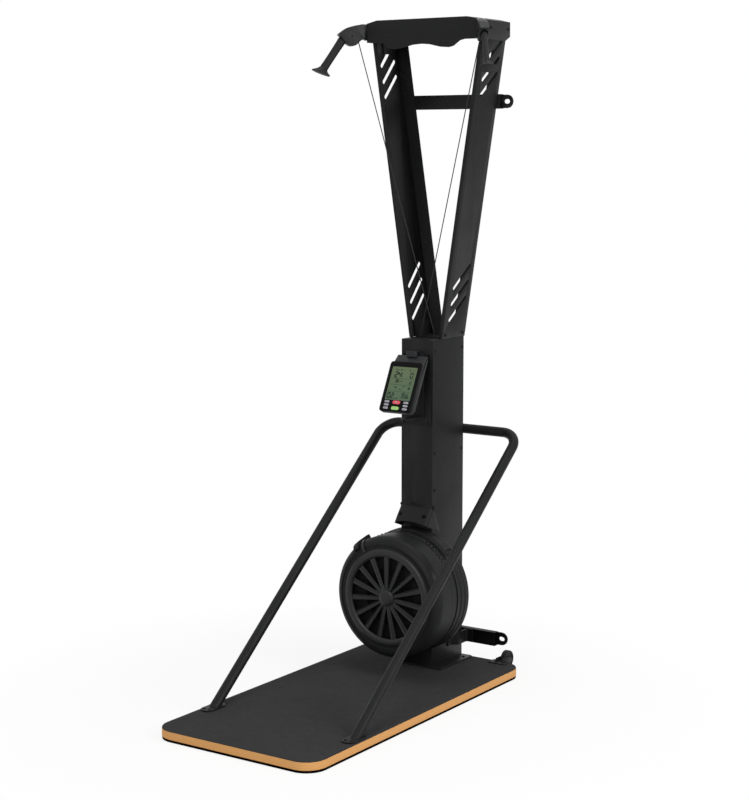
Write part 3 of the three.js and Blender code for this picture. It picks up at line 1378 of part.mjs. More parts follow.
function consoleScreen() {
  const sheet = pullBack(screenOutline(0), SCREEN_RECESS, BEZEL_THICKNESS);
  return piece("console_screen", sheet.translate(0, 0, SCREEN_CENTRE_ABOVE), screenGlass);
}

function consoleCase() {
  const front = BEZEL_THICKNESS + SEAT_GAP;
  const back = front + SHELL_DEPTH;
  const half = CONSOLE_FACE_HEIGHT / 2;
  const low = -half + SHELL_INSET;
  const profile = outline([
    [front + SHELL_BEVEL, low + SHELL_BEVEL],
    [front + SHELL_DEPTH / 2, low + SHELL_BEVEL],
    [back - SHELL_BEVEL, low + SHELL_DEPTH - SHELL_CHIN],
    [back - SHELL_BEVEL, half + SHELL_ROOF_HEIGHT - SHELL_CHIN],
    [SHELL_ROOF_REACH, half + SHELL_ROOF_HEIGHT - SHELL_BEVEL],
    [front + SHELL_BEVEL, half - SHELL_BEVEL],
  ]);
  const width = CONSOLE_WIDTH - 2 * SHELL_INSET;
  const body = new THREE.ExtrudeGeometry(profile, {
    depth: width - 2 * SHELL_BEVEL,
    bevelThickness: SHELL_BEVEL,
    bevelSize: SHELL_BEVEL,
    bevelSegments: 2,
  });
  body.applyMatrix4(ACROSS).translate(-width / 2 + SHELL_BEVEL, 0, 0);
  const pivotY = back + PIVOT_BEHIND_SHELL;
  const lugs = [-1, 1].map((side) => {
    const from = side * LUG_HALF_SPAN - LUG_THICKNESS / 2;
    const eye = barAlongX(LUG_RADIUS, from, from + LUG_THICKNESS).translate(0, pivotY, PIVOT_ABOVE_CENTRE);
    const web = block(
      [from, from + LUG_THICKNESS],
      [back - LUG_RADIUS, pivotY],
      [PIVOT_ABOVE_CENTRE - LUG_RADIUS, PIVOT_ABOVE_CENTRE + LUG_RADIUS],
    );
    return join(eye, web);
  });
  const bore = barAlongX(PIVOT_RADIUS + RUNNING_GAP, -CONSOLE_WIDTH, CONSOLE_WIDTH);
  bore.translate(0, pivotY, PIVOT_ABOVE_CENTRE);
  return piece("console_case", cut(join(body, ...lugs), bore), blackPlastic);
}

function consoleUnit() {
  const made = group(consoleBezel(), consoleScreen(), consoleCase(), ...consoleKeys());
  made.rotation.x = -THREE.MathUtils.degToRad(CONSOLE_TILT_DEG);
  made.position.set(0, CONSOLE_FACE_Y, CONSOLE_FACE_Z);
  return made;
}

function consoleMountPlate() {
  const back = COLUMN_FRONT_Y - SEAT_GAP;
  const top = COLUMN_TOP - MOUNT_PLATE_BELOW_COLUMN_TOP;
  const shape = roundedRectangle(MOUNT_PLATE_WIDTH, MOUNT_PLATE_HEIGHT, SHELL_BEVEL);
  const plate = pullBack(shape, back - MOUNT_PLATE_THICKNESS, back);
  return piece("console_mount_plate", plate.translate(0, 0, top - MOUNT_PLATE_HEIGHT / 2), darkSteel);
}

// Bracket on the mount plate: a base, two ears with the pin between them, and a tongue below
function consoleBracket() {
  const tilt = THREE.MathUtils.degToRad(CONSOLE_TILT_DEG);
  const alongY = BEZEL_THICKNESS + SEAT_GAP + SHELL_DEPTH + PIVOT_BEHIND_SHELL;
  const pivotY = CONSOLE_FACE_Y + alongY * Math.cos(tilt) + PIVOT_ABOVE_CENTRE * Math.sin(tilt);
  const pivotZ = CONSOLE_FACE_Z - alongY * Math.sin(tilt) + PIVOT_ABOVE_CENTRE * Math.cos(tilt);
  const back = COLUMN_FRONT_Y - 2 * SEAT_GAP - MOUNT_PLATE_THICKNESS;
  const front = back - BRACKET_BASE_THICKNESS;
  const low = pivotZ - BRACKET_BASE_DROP;
  const high = pivotZ + BRACKET_BASE_HEIGHT;
  const base = block([-BRACKET_BASE_WIDTH / 2, BRACKET_BASE_WIDTH / 2], [front, back], [low, high]);
  const tab = block(
    [-BRACKET_TAB_WIDTH / 2, BRACKET_TAB_WIDTH / 2],
    [front - BRACKET_TAB_DEPTH, back],
    [high - BRACKET_TAB_HEIGHT, high + BRACKET_BASE_THICKNESS],
  );
  const near = LUG_HALF_SPAN + LUG_THICKNESS / 2 + RUNNING_GAP;
  const ears = [-1, 1].map((side) => {
    const from = side > 0 ? near : -near - BRACKET_EAR_THICKNESS;
    const eye = barAlongX(BRACKET_EAR_RADIUS, from, from + BRACKET_EAR_THICKNESS);
    eye.translate(0, pivotY, pivotZ);
    const web = block(
      [from, from + BRACKET_EAR_THICKNESS],
      [pivotY, front + BRACKET_BASE_THICKNESS / 2],
      [pivotZ - BRACKET_EAR_RADIUS, pivotZ + BRACKET_EAR_RADIUS],
    );
    return join(eye, web);
  });
  const pin = barAlongX(PIVOT_RADIUS, -near - BRACKET_EAR_THICKNESS, near + BRACKET_EAR_THICKNESS);
  pin.translate(0, pivotY, pivotZ);
  const tongueShape = new THREE.Shape();
  const radius = BRACKET_TONGUE_WIDTH / 2;
  tongueShape.moveTo(radius, back);
  tongueShape.lineTo(-radius, back);
  tongueShape.lineTo(-radius, front - BRACKET_TONGUE_REACH + radius);
  tongueShape.absarc(0, front - BRACKET_TONGUE_REACH + radius, radius, Math.PI, 2 * Math.PI);
  tongueShape.closePath();
  const tongue = pullUp(tongueShape, low, low + BRACKET_TONGUE_THICKNESS, CORNER_STEPS);
  return piece("console_bracket", join(base, tab, ...ears, pin, tongue), blackPlastic);
}

// Hoods with pulleys, in a frame whose +X points out of the hood's mouth
function inset(points, distance) {
  return points.map((point, k) => {
    const [x0, y0] = points[(k + points.length - 1) % points.length];
    const [x1, y1] = point;
    const [x2, y2] = points[(k + 1) % points.length];
    const before = Math.hypot(x1 - x0, y1 - y0);
    const after = Math.hypot(x2 - x1, y2 - y1);
    const [nx0, ny0] = [-(y1 - y0) / before, (x1 - x0) / before];
    const [nx1, ny1] = [-(y2 - y1) / after, (x2 - x1) / after];
    const scale = distance / (1 + nx0 * nx1 + ny0 * ny1);
    return [x1 + scale * (nx0 + nx1), y1 + scale * (ny0 + ny1)];
  });
}

// Where the cord runs on the pulley's groove, as a radius
function cordOnPulleyRadius() {
  return PULLEY_RADIUS - PULLEY_RIM + SEAT_GAP + CORD_RADIUS;
}

function gripTilt() {
  return THREE.MathUtils.degToRad(GRIP_TILT_DEG);
}

// A place on the grip's axis, a given way past the point where the cord leaves the pulley
function onGripAxis(past) {
  const radius = cordOnPulleyRadius();
  const x = PULLEY_ALONG + radius * Math.cos(gripTilt()) + past * Math.sin(gripTilt());
  const z = -PULLEY_BELOW + radius * Math.sin(gripTilt()) - past * Math.cos(gripTilt());
  return new THREE.Vector3(x, 0, z);
}

function gripRing(alongShare, depthShare, widthShare) {
  return Array.from({ length: ROUND_SIDES }, (unused, k) => {
    const angle = (2 * Math.PI * k) / ROUND_SIDES;
    const x = (GRIP_DEPTH / 2) * depthShare * Math.cos(angle);
    const y = (GRIP_WIDTH / 2) * widthShare * Math.sin(angle);
    return new THREE.Vector3(x, y, -GRIP_LENGTH * alongShare);
  });
}

function grip() {
  const body = loft(GRIP_TAPER_SHARE.map((row) => gripRing(...row)));
  body.rotateY(-gripTilt());
  const start = onGripAxis(GRIP_START);
  return body.translate(start.x, start.y, start.z);
}

function hood() {
  const shape = HOOD_OUTLINE_SHARE.map(([along, up]) => [along * HOOD_LENGTH, up * HOOD_HEIGHT]);
  const half = HOOD_WIDTH / 2;
  const shell = pullBack(outline(shape), -half, half);
  const flange = block(
    [-HOOD_FLANGE_THICKNESS / 2, HOOD_FLANGE_THICKNESS / 2],
    [-half, half],
    [shape[0][1], shape[shape.length - 1][1]],
  );
  const cavity = pullBack(outline(inset(shape, HOOD_WALL)), -half + HOOD_WALL, half - HOOD_WALL);
  const mouth = new THREE.CylinderGeometry(1, 1, HOOD_LENGTH, ROUND_SIDES);
  mouth.scale(GRIP_DEPTH / 2 + MOUTH_CLEARANCE, 1, half - HOOD_WALL).rotateX(Math.PI / 2);
  mouth.translate(0, 0, -HOOD_LENGTH / 2).rotateY(-gripTilt());
  const mouthStart = onGripAxis(0);
  mouth.translate(mouthStart.x, mouthStart.y, mouthStart.z);
  const cordWay = block(
    [CORD_WAY_START, CORD_WAY_START + CORD_SLOT_LENGTH / 2],
    [-half + HOOD_WALL, half - HOOD_WALL],
    [-2 * HOOD_HEIGHT, -HOOD_HEIGHT / 4],
  );
  const axleHole = barAlongY(PULLEY_AXLE_RADIUS + SEAT_GAP, -half - CUT_OVERRUN, half + CUT_OVERRUN);
  axleHole.translate(PULLEY_ALONG, 0, -PULLEY_BELOW);
  return cut(join(shell, flange), cavity, mouth, cordWay, axleHole);
}

function pulleyAxle() {
  const reach = HOOD_WIDTH / 2 + PULLEY_AXLE_RADIUS / 4;
  return barAlongY(PULLEY_AXLE_RADIUS, -reach, reach).translate(PULLEY_ALONG, 0, -PULLEY_BELOW);
}

function pulley() {
  const half = PULLEY_WIDTH / 2;
  const floor = PULLEY_RADIUS - PULLEY_RIM;
  const profile = [
    [PULLEY_AXLE_RADIUS + SEAT_GAP, -half],
    [PULLEY_RADIUS, -half],
    [PULLEY_RADIUS, -half + PULLEY_WIDTH / 8],
    [floor, -CORD_RADIUS],
    [floor, CORD_RADIUS],
    [PULLEY_RADIUS, half - PULLEY_WIDTH / 8],
    [PULLEY_RADIUS, half],
    [PULLEY_AXLE_RADIUS + SEAT_GAP, half],
  ];
  return turned(profile, ROUND_SIDES).translate(PULLEY_ALONG, 0, -PULLEY_BELOW);
}

function hoodTurn(side) {
  const splay = THREE.MathUtils.degToRad(HOOD_SPLAY_DEG);
  return side > 0 ? splay - Math.PI / 2 : -splay - Math.PI / 2;
}

function hoodGroup(side) {
  const name = side > 0 ? "right" : "left";
  const made = group(
    piece(`${name}_hood`, hood(), hoodPlastic),
    piece(`${name}_hood_pulley`, pulley(), blackPlastic),
    piece(`${name}_pulley_axle`, pulleyAxle(), brightSteel),
    piece(`${name}_handle`, grip(), rubber),
  );
  made.rotation.z = hoodTurn(side);
  made.position.set(side * HOOD_ROOT_X, HOOD_ROOT_Y, HOOD_ROOT_Z);
  return made;
}

// Cords: from the handle over the hood's pulley, across to the other side of the column and down
// to the drums on the fan's axle
function fromHood(side, point) {
  const splayed = point.clone().applyAxisAngle(new THREE.Vector3(0, 0, 1), hoodTurn(side));
  return splayed.add(new THREE.Vector3(side * HOOD_ROOT_X, HOOD_ROOT_Y, HOOD_ROOT_Z));
}

function toHood(side, point) {
  const local = point.clone().sub(new THREE.Vector3(side * HOOD_ROOT_X, HOOD_ROOT_Y, HOOD_ROOT_Z));
  return local.applyAxisAngle(new THREE.Vector3(0, 0, 1), -hoodTurn(side));
}

function cord(side) {
  const name = side > 0 ? "right_cord" : "left_cord";
  const drumY = (side > 0 ? RIGHT_DRUM_Y : LEFT_DRUM_Y) + DRUM_WIDTH / 2;
  const entryY = CORD_ENTRY_Y + side * CORD_ENTRY_SPREAD;
  const entry = new THREE.Vector3(-side * CORD_ENTRY_X, entryY, COLUMN_TOP);
  const drum = new THREE.Vector3(DRUM_RADIUS + SEAT_GAP + CORD_RADIUS, drumY, FAN_AXIS_Z);
  const local = toHood(side, entry);
  const radius = cordOnPulleyRadius();
  const [dx, dz] = [local.x - PULLEY_ALONG, local.z + PULLEY_BELOW];
  const leaveAngle = Math.atan2(dz, dx) - Math.acos(radius / Math.hypot(dx, dz)) + 2 * Math.PI;
  const arriveAngle = gripTilt();
  const steps = SMALL_SIDES;
  const round = Array.from({ length: steps + 1 }, (unused, k) => {
    const angle = arriveAngle + ((leaveAngle - arriveAngle) * k) / steps;
    const x = PULLEY_ALONG + radius * Math.cos(angle);
    return fromHood(side, new THREE.Vector3(x, 0, -PULLEY_BELOW + radius * Math.sin(angle)));
  });
  const start = fromHood(side, onGripAxis(GRIP_START - SEAT_GAP));
  return piece(name, tubeThrough([start, ...round, entry, drum], CORD_RADIUS, SMALL_SIDES / 2), cordBlack);
}

// Transport wheels
function casterY() {
  return PLATFORM_LENGTH / 2 + CASTER_BACK_GAP + CASTER_RADIUS;
}

function rightCasterBracket() {
  const bottom = PLATFORM_TOP + SEAT_GAP;
  const top = bottom + CASTER_PLATE_THICKNESS;
  const edge = PLATFORM_LENGTH / 2;
  const front = edge - CASTER_PLATE_LENGTH;
  const halfPlate = CASTER_PLATE_WIDTH / 2;
  const sides = [CASTER_CENTRE_X - halfPlate, CASTER_CENTRE_X + halfPlate];
  const plate = block(sides, [front, edge], [bottom, top]);
  const near = CASTER_WIDTH / 2 + RUNNING_GAP;
  const cheek = outline([
    [front + CASTER_PLATE_LENGTH / 4, bottom],
    [edge + CASTER_BACK_GAP / 2, bottom],
    [casterY(), CASTER_CENTRE_Z - CASTER_EYE_RADIUS],
    [casterY(), CASTER_CENTRE_Z + CASTER_EYE_RADIUS],
    [edge, top + CASTER_EYE_RADIUS],
    [front + CASTER_PLATE_LENGTH / 2, top + CASTER_EYE_RADIUS],
    [front + CASTER_PLATE_LENGTH / 4, top],
  ]);
  const cheeks = [-1, 1].map((side) => {
    const from = CASTER_CENTRE_X + (side > 0 ? near : -near - CASTER_CHEEK);
    const eye = barAlongX(CASTER_EYE_RADIUS, from, from + CASTER_CHEEK);
    eye.translate(0, casterY(), CASTER_CENTRE_Z);
    return join(pullAcross(cheek, from, from + CASTER_CHEEK), eye);
  });
  const reach = near + CASTER_CHEEK;
  const axle = barAlongX(CASTER_AXLE_RADIUS, CASTER_CENTRE_X - reach, CASTER_CENTRE_X + reach);
  return join(plate, ...cheeks, axle.translate(0, casterY(), CASTER_CENTRE_Z));
}

function rightCaster() {
  const half = CASTER_WIDTH / 2;
  const bore = CASTER_AXLE_RADIUS + RUNNING_GAP / 2;
  const edge = CASTER_WIDTH / 6;
  const profile = [
    [bore, -half],
    [CASTER_RADIUS - edge, -half],
    [CASTER_RADIUS, -half + edge],
    [CASTER_RADIUS, half - edge],
    [CASTER_RADIUS - edge, half],
    [bore, half],
  ];
  const wheel = turned(profile, 2 * SMALL_SIDES).rotateZ(-Math.PI / 2);
  return wheel.translate(CASTER_CENTRE_X, casterY(), CASTER_CENTRE_Z);
}

const skiTrainer = group(
  platform(),
  columnBasePlate(),
  columnFrame(),
  columnBackCover(),
  columnTopCap(),
  ...bothSides("arm", rightArm(), darkSteel),
  armTie(),
  headBracket(),
  wallBar("upper_wall_bar", UPPER_BAR_Z),
  wallBar("lower_wall_bar", LOWER_BAR_Z),
  ...bothSides("wall_strap", rightWallStrap(), zincSteel),
  supportHoop(),
  ...bothSides("hoop_foot", rightHoopFoot(), darkSteel),
  hoopSaddle(),
  fan(),
  collarCover(),
  consoleMountPlate(),
  consoleBracket(),
  consoleUnit(),
  hoodGroup(-1),
  hoodGroup(1),
  cord(-1),
  cord(1),
  ...bothSides("wheel_bracket", rightCasterBracket(), darkSteel),
  ...bothSides("wheel", rightCaster(), rubber),
);

export default skiTrainer;
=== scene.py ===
"""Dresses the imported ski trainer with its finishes, smooth mouldings, fan, console and fasteners.

Metres, +Z up, -Y towards the user, +X to the user's right. Every piece lies in the frame of the
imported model, with its place in its mesh, and rides on one of that model's bodies.
"""
import json
import math

import bmesh
import bpy
import numpy as np
from bpy.props import FloatProperty, FloatVectorProperty, IntProperty, PointerProperty
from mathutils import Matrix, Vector


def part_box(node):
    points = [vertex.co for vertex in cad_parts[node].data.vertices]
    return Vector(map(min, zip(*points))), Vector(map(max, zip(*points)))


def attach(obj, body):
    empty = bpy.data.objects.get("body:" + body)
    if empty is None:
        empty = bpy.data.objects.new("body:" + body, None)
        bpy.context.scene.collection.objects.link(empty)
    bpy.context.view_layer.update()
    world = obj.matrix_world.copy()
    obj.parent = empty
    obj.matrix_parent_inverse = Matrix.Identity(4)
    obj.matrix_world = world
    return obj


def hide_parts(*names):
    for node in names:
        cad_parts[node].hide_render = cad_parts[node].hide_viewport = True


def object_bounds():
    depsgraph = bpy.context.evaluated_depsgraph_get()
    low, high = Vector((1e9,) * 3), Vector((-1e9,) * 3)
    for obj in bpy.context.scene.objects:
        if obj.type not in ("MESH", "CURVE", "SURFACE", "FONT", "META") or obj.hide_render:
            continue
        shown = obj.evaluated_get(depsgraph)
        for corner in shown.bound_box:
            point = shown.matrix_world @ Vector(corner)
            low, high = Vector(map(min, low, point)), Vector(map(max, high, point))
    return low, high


bl_info = {
    "name": "Ski trainer dressing",
    "version": (1, 1, 0),
    "blender": (4, 5, 0),
    "location": "View3D > Sidebar > Ski trainer",
    "description": "Finishes, mouldings, fan, console and fasteners of a standing ski trainer",
    "category": "Object",
}

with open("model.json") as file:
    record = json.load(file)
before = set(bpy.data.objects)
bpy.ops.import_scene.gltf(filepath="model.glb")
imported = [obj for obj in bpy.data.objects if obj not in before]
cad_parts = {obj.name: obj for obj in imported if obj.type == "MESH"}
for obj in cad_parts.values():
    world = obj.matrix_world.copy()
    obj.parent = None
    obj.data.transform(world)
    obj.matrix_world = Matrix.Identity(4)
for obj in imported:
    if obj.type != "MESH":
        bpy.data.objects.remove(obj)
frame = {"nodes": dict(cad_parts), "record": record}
NODES = frame["nodes"]
SLOT_OF = {row["node"]: row["material_slot"] for row in frame["record"]["subparts"]}
BODY_OF = {node: body for body, nodes in frame["record"]["behaviour"]["bodies"].items() for node in nodes}
CAD_LOW, CAD_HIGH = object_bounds()

# Boxes of the nodes that several pieces are placed by
FAN_LOW, FAN_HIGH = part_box("fan_front_housing")
BAND_LOW, BAND_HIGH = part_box("fan_vent_band")
REAR_LOW, REAR_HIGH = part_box("fan_rear_housing")
GRILLE_LOW, GRILLE_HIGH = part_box("fan_grille")
MESH_LOW, MESH_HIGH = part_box("fan_mesh")
COLUMN_LOW, COLUMN_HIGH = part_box("column_frame")
HOOP_LOW, HOOP_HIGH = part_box("support_hoop")
CASE_LOW, CASE_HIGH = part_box("console_case")

# The sign of X on each side
SIDES = {"left": -1, "right": 1}

# Nodes whose finish differs from their slot's
OWN_FINISH = {
    "left_pulley_axle": "screw_black",
    "right_pulley_axle": "screw_black",
    "console_case": "case_grey",
    # The base pad is black rubber, darkened further and without specular as painted shade under the board's
    # edge
    "platform_base_pad": "painted_shade_black",
    "lower_wall_bar": "bezel_black",
}

# Coated finishes: name, colour setting and its share, roughness, grain scale and grain depth,
# specular, metallic and contrast
COATED = (
    ("dark_steel", "steel", 1.0, 0.46, 1500.0, 0.00012, 0.13, 0.0, 0.16),
    ("black_plastic", "plastic", 1.0, 0.48, 1900.0, 0.0001, 0.13, 0.0, 0.16),
    ("hood_plastic", "plastic", 1.0, 0.42, 1400.0, 0.00006, 0.18, 0.0, 0.16),
    ("rubber", "rubber", 1.0, 0.62, 1100.0, 0.00018, 0.22, 0.0, 0.16),
    ("bright_steel", "bright", 1.0, 0.3, 900.0, 0.00005, 0.5, 1.0, 0.16),
    ("zinc", "zinc", 1.0, 0.35, 1200.0, 0.00006, 0.5, 0.6, 0.16),
    ("wire_black", "plastic", 0.5, 0.6, 900.0, 0.00003, 0.06, 0.0, 0.16),
    ("grille_black", "plastic", 1.15, 0.36, 1900.0, 0.00006, 0.3, 0.0, 0.16),
    ("bezel_black", "plastic", 0.35, 0.4, 1900.0, 0.00004, 0.06, 0.0, 0.16),
    ("case_grey", "plastic", 2.2, 0.5, 1900.0, 0.00008, 0.16, 0.0, 0.16),
    # Painted shade: a near-black without specular, for the discs in the collar's screw recesses and for the
    # base pad
    ("painted_shade_black", "steel", 0.1, 0.9, 900.0, 0.00003, 0.0, 0.0, 0.16),
    ("screw_black", "steel", 0.4, 0.42, 900.0, 0.00005, 0.12, 0.0, 0.16),
    ("key_white", "white", 1.0, 0.45, 1500.0, 0.00004, 0.4, 0.0, 0.05),
    ("key_red", "red", 1.0, 0.42, 1500.0, 0.00004, 0.4, 0.0, 0.08),
    ("key_green", "green", 1.0, 0.42, 1500.0, 0.00004, 0.4, 0.0, 0.08),
    ("display_ink", "ink", 1.0, 0.5, 1500.0, 0.00003, 0.2, 0.0, 0.1),
)

# Grain and smudges of the coated finishes: scales, the stretch of each noise that is used, relief, and
# how far smudges lower and raise a roughness
GRAIN_SCALE = 900.0
COARSE_SHARE = 0.1
GRAIN_RANGE = (0.3, 0.7)
COAT_RELIEF = 0.35
SMUDGE_SCALE = 7.0
SMUDGE_RANGE = (0.42, 0.68)
SMUDGE_ROUGHNESS = (0.03, 0.06)

# The mat: crumbs, shades of its ground and its specks, and its surface
MAT_SPECULAR = 0.03
MAT_CRUMB_SCALE = 420.0
MAT_CRUMB_RANGE = (0.05, 0.3)
MAT_GRAIN_SCALE = 700.0
MAT_SHADES = (0.94, 1.08)
MAT_SPECK_RANGE = (0.6, 1.0)
MAT_SPECK_SHARE = 0.35
MAT_SPECK_SHADE = 1.6
MAT_SMUDGE_SCALE = 3.0
MAT_ROUGHNESS = (0.8, 0.9)
MAT_RELIEF = 0.4
CRUMB_DEPTH = 0.0004

# The plywood: a veneer's thickness and waver, shades of light and dark veneers, and streaks along the edge
WOOD_SPECULAR = 0.08
VENEER = 0.0024
VENEER_WAVER_SCALE = 24.0
VENEER_WAVER_SHARE = 0.35
VENEER_RANGE = (0.35, 0.65)
VENEER_SHADES = (1.06, (0.88, 0.83, 0.76))
STREAK_STRETCH = (9.0, 9.0, 900.0)
STREAK_SCALE = 6.0
STREAK_DETAIL = 5.0
STREAK_RANGE = (0.35, 0.75)
STREAK_SHARE = 0.4
STREAK_SHADE = (0.62, 0.54, 0.44)
WOOD_ROUGHNESS = (0.42, 0.55)
WOOD_RELIEF = 0.15
PORE_DEPTH = 0.0003

# The cord: its strands' scale and shades, and its surface
CORD_SPECULAR = 0.2
STRAND_SCALE = 260.0
CORD_SHADES = ((0.012, 0.012, 0.013), (0.032, 0.032, 0.034))
CORD_ROUGHNESS = (0.7, 0.85)
CORD_RELIEF = 0.3
STRAND_DEPTH = 0.0003

# The display's ground: shades of painted light at its foot and top, and its speckle
SCREEN_SPECULAR = 0.3
SCREEN_PAINTED_LIGHT_TINTS = ((0.8, 0.9, 1.0), (1.2, 1.05, 1.0))
SPECKLE_SCALE = 900.0
SPECKLE_RANGE = (0.4, 0.6)
SPECKLE_SHARE = 0.14
SPECKLE_SHADE = 1.6
SCREEN_ROUGHNESS = (0.2, 0.26)

# Counts, tolerances and angles of the surfaces; a fitted face stands clear of its neighbour by the seat gap
ROUND_SIDES = 192
PART_SIDES = 48
SCREW_SIDES = 24
CORNER_STEPS = 12
EDGE_STEPS = 4
MERGE_DISTANCE = 1e-6
NODE_MERGE_DISTANCE = 5e-6
FLAT_ANGLE = 1.0
CRISP_ANGLE = 35.0
COLLAR_ANGLE = 50.0
SOFT_ANGLE = 60.0
BEVEL_ANGLE = 32.0
STEEP_ANGLE = 25.0
SEAT_GAP = 0.0003

# Edge rounding of the sheet steel and mouldings that keep their packed outline
ROUNDED_NODES = {
    "column_frame": 0.0012,
    "column_back_cover": 0.0010,
    "column_base_plate": 0.0010,
    "column_top_cap": 0.0006,
    "left_arm": 0.0010,
    "right_arm": 0.0010,
    "arm_tie": 0.0010,
    "head_bracket": 0.0010,
    "upper_wall_bar": 0.0015,
    "lower_wall_bar": 0.0015,
    "hoop_saddle": 0.0008,
    "console_mount_plate": 0.0008,
    "console_bracket": 0.0008,
    "damper_lever": 0.0010,
    "console_case": 0.0015,
    "left_wheel_bracket": 0.0008,
    "right_wheel_bracket": 0.0008,
}

# The arms' upper ends reach up behind the head's folded edge
RAISED_TOPS = {"left_arm": 0.0038, "right_arm": 0.0038}
TOP_BAND = 0.0005

# The fan's middle, on an axle along Y, and the radii of its rings
FAN_CENTRE = (FAN_LOW + FAN_HIGH) / 2
FAN_RADIUS = (FAN_HIGH.x - FAN_LOW.x) / 2
BAND_RADIUS = (BAND_HIGH.x - BAND_LOW.x) / 2
GRILLE_RADIUS = (GRILLE_HIGH.x - GRILLE_LOW.x) / 2

# The damper's bar: its angle from the top at rest, where it starts and ends over the front shell, and its
# section in halves of its width and thickness
DAMPER_REST = math.radians(-30.0)
DAMPER_START_RADIUS = 0.168
DAMPER_END_DEGREES = 84
DAMPER_SECTION = ((-1, -1), (1, -1), (0.8, 1), (-0.8, 1))

# The vent band and its teeth: shares of the band's depth, and degrees from the top, clockwise from the front
BAND_ROW_SHARES = (0.0, 0.19, 0.46, 0.62, 0.78, 1.0)
BAND_HOLES_END = 52
BAND_SLOT = (-44, 38)
TOOTH_ENDS = (-58, 56)
TOOTH_LENGTH = 0.005
TOOTH_CORNER = 0.0009
TOOTH_ROOT = 0.0004
TOOTH_CHAMFER = 0.0008
TOOTH_MIDDLE = 0.0088
TOOTH_TOP_SHARE = 0.8

# The rear shell: shares of its depth, degrees where its outlet rises, falls and is slotted, and the slot's
# depth as a share of the outlet's rise
REAR_ROW_SHARES = (0, 0.08, 0.15, 0.22, 0.3, 0.33, 0.4, 0.48, 0.55, 0.62, 0.66, 0.74, 0.82, 0.9, 0.945)
REAR_STEP_SHARES = ((0.3, 0.33, 0.62, 0.66), (0, 0.5, 0.5, 1.0))
REAR_STEP = 0.004
OUTLET_RISE = (23.4, 24.6)
OUTLET_FALL = (46.4, 47.6)
OUTLET_SLOT = 44.5
OUTLET_SLOT_HALF = 1.0
OUTLET_SLOT_SHARES = (0.25, 0.72)
OUTLET_SLOT_DEPTH_SHARE = 0.5
OUTLET_START_SHARES = (0.07, 0.16)
OUTLET_END_SHARES = (0.86, 0.95)

# The grille: how its crown and its hub's dome fall off, where a spoke starts and ends as shares of the
# hub's radius and the ring's width, and its section in shares of half its width and of its depth
CROWN_POWER = 3.2
HUB_FALL_SHARE = 0.85
SPOKE_START_SHARE = 0.6
SPOKE_END_SHARE = 0.2
SPOKE_SHARES = (
    (-1, 1), (-1, 0.1), (-0.84, -0.12), (-0.66, 0.05), (-0.5, 0.3),
    (0.5, 0.3), (0.66, 0.05), (0.84, -0.12), (1, 0.1), (1, 1),
)

# The fine screen's layers as (place, upright) in halves of its depth, and a wire's share of that depth
WIRE_LAYERS = ((-0.25, True), (0.25, False))
WIRE_SHARE = 0.6

# Roundings of the platform's plates, and the wall straps' bends along Y and the length of their tab
PLATE_EDGE = 0.0009
BOARD_EDGE = 0.0012
STRAP_BEND_START = 0.022
STRAP_BEND_END = 0.038
STRAP_TAB = 0.024

# The button screws on the right half, which the left half mirrors: the head's radius and its section in
# shares of it, then places and distances from edges
SCREW_RADIUS = 0.0052
SOCKET_SHARE = 0.36
SOCKET_RISES = (0.16, 0.5)
DOME_SHARES = ((0.56, 0.52), (0.86, 0.4), (1.0, 0.2), (1.0, -0.1))
COLUMN_SCREWS_YZ = ((0.415, 1.110), (0.415, 0.768), (0.415, 0.643), (0.586, 1.111), (0.586, 0.765))
ARM_SCREWS_YZ = ((0.469, 1.159), (0.579, 1.161))
ARM_FOOT_X = 0.0643
ARM_LEAN = 0.1534
HEAD_SIDE_X = 0.212
HEAD_SCREWS_YZ = ((0.503, 2.160), (0.617, 2.160))
BASE_SCREWS_XY = ((0.085, 0.425), (0.085, 0.568))
FOOT_SCREW_Y = -0.386
FOOT_SCREW_SPREAD = 0.011
SADDLE_SCREW_X = 0.011
SADDLE_SCREW_INSET = 0.0135
SADDLE_FLANGE = 0.0043
BAR_SCREWS_X = {"upper_wall_bar": 0.160, "lower_wall_bar": 0.035}
PLATE_SCREW_X = 0.049
PLATE_SCREW_INSET = 0.0085

# The collar: its sunk screw as (place, normal), the section of the dark disc that paints the shade in its
# recess, and the tilted circle its lower edge follows
COLLAR_SCREW = ((0.047, 0.3713, 0.560), (0.177, -0.770, 0.612))
COLLAR_SCREW_RADIUS = 0.0034
RECESS_RADIUS = 0.0062
RECESS_SHARES = ((0.0, 0.04), (0.9, 0.06), (1.0, 0.1), (1.08, 0.02), (1.0, -0.3), (0.0, -0.3))
COLLAR_RISE = 0.285
COLLAR_TOP = FAN_CENTRE.z + COLLAR_RISE
COLLAR_HEIGHT = 0.092
COLLAR_STAND = 0.0033
COLLAR_HALF = COLUMN_HIGH.x + COLLAR_STAND
COLLAR_CORNER = 0.018
COLLAR_BOW = 14
COLLAR_SLOPE_SHARE = ((0, -0.82), (0.38, -0.56), (0.565, -0.43), (0.804, -0.24), (0.93, -0.13), (1, 0.01))
COLLAR_BACK_REACH = 0.044
COLLAR_ARC_RADIUS = 0.223
COLLAR_ARC_REACH = 0.054
COLLAR_ARC_Y = COLUMN_LOW.y - COLLAR_ARC_REACH
COLLAR_ARC_TILT = math.radians(19.8)
COLLAR_WALL = 0.003
COLLAR_ROWS = 29
COLLAR_ROUNDS = 60

